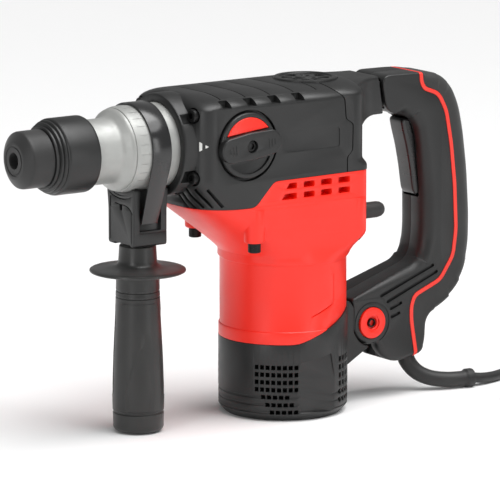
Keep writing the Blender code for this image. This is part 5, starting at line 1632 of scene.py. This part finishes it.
@dataclass
class Studio:
    """Camera, floor and soft lights."""

    place: Corner = (-2.03565417, -2.86445742, 0.79097377)
    turn: float = 35.0
    drop: float = 10.8
    lens: float = 345.6
    world: float = 0.3
    aim: Corner = (0.0, 0.0, 0.15)

    def camera(self) -> None:
        """The camera at the viewing angle."""
        turn, drop = math.radians(self.turn), math.radians(self.drop)
        look = Vector((math.sin(turn) * math.cos(drop), math.cos(turn) * math.cos(drop), -math.sin(drop)))
        data = bpy.data.cameras.new("camera")
        data.lens = self.lens
        data.sensor_width = 36.0
        camera = bpy.data.objects.new("camera", data)
        camera.location = self.place
        camera.rotation_euler = look.to_track_quat("-Z", "Y").to_euler()
        bpy.context.collection.objects.link(camera)
        bpy.context.scene.camera = camera

    def floor(self) -> None:
        """A plain pale floor."""
        Bench.clear()
        bpy.ops.mesh.primitive_plane_add(size=30.0)
        floor = bpy.context.object
        floor.name = "floor"
        floor.data.materials.append(FLOOR.build())

    @staticmethod
    def hang(data: bpy.types.Light, place: Corner, aim: Corner) -> None:
        """Put a lamp in the scene, aimed at a point."""
        lamp = bpy.data.objects.new(data.name, data)
        lamp.location = place
        lamp.rotation_euler = (Vector(aim) - Vector(place)).to_track_quat("-Z", "Y").to_euler()
        bpy.context.collection.objects.link(lamp)

    def soft_box(self, name: str, place: Corner, power: float, size: Point) -> None:
        """One soft box aimed at the tool."""
        data = bpy.data.lights.new(name, "AREA")
        data.shape = "RECTANGLE"
        data.size, data.size_y = size
        data.energy = power
        self.hang(data, place, self.aim)

    def ceiling(self, power: float, place: Corner, spread: float) -> None:
        """A very wide sun, like a lit ceiling."""
        data = bpy.data.lights.new("ceiling", "SUN")
        data.energy = power
        data.angle = math.radians(spread)
        self.hang(data, place, (0.0, 0.0, 0.0))

    def build(self) -> None:
        """Set up the studio."""
        self.camera()
        self.floor()
        world = bpy.data.worlds.new("studio_sky")
        world.use_nodes = True
        sky = world.node_tree.nodes["Background"].inputs
        sky["Color"].default_value = (1.0, 1.0, 1.0, 1.0)
        sky["Strength"].default_value = self.world
        bpy.context.scene.world = world
        bpy.context.scene.view_settings.view_transform = "Standard"
        self.ceiling(2.3, (0.25, -0.35, 1.0), 55.0)
        self.soft_box("overhead_box", (0.1, -0.2, 1.6), 9.0, (1.2, 0.8))
        self.soft_box("left_box", (-1.7, -0.7, 0.7), 7.0, (0.35, 1.2))
        self.soft_box("front_box", (0.5, -1.9, 0.5), 5.0, (0.4, 1.2))


# ---------------------------------------------------------------- whole object


def main() -> None:
    """Build the studio and the lead, then every assembly in order."""
    logging.basicConfig(level=logging.INFO, format="%(name)s: %(message)s")
    Studio().build()
    assemblies: tuple[Assembly, ...] = (
        MainsLead(), GearHousing(), MotorHousing(), MotorEndCap(), NoseAndChuck(), Selector(), LoopHandle(),
        SideHandle(), InnerParts())
    for assembly in assemblies:
        assembly.build()
        LOG.info("%s: %d pieces", type(assembly).__name__, len(assembly.made))


if __name__ == "__main__":
    main()
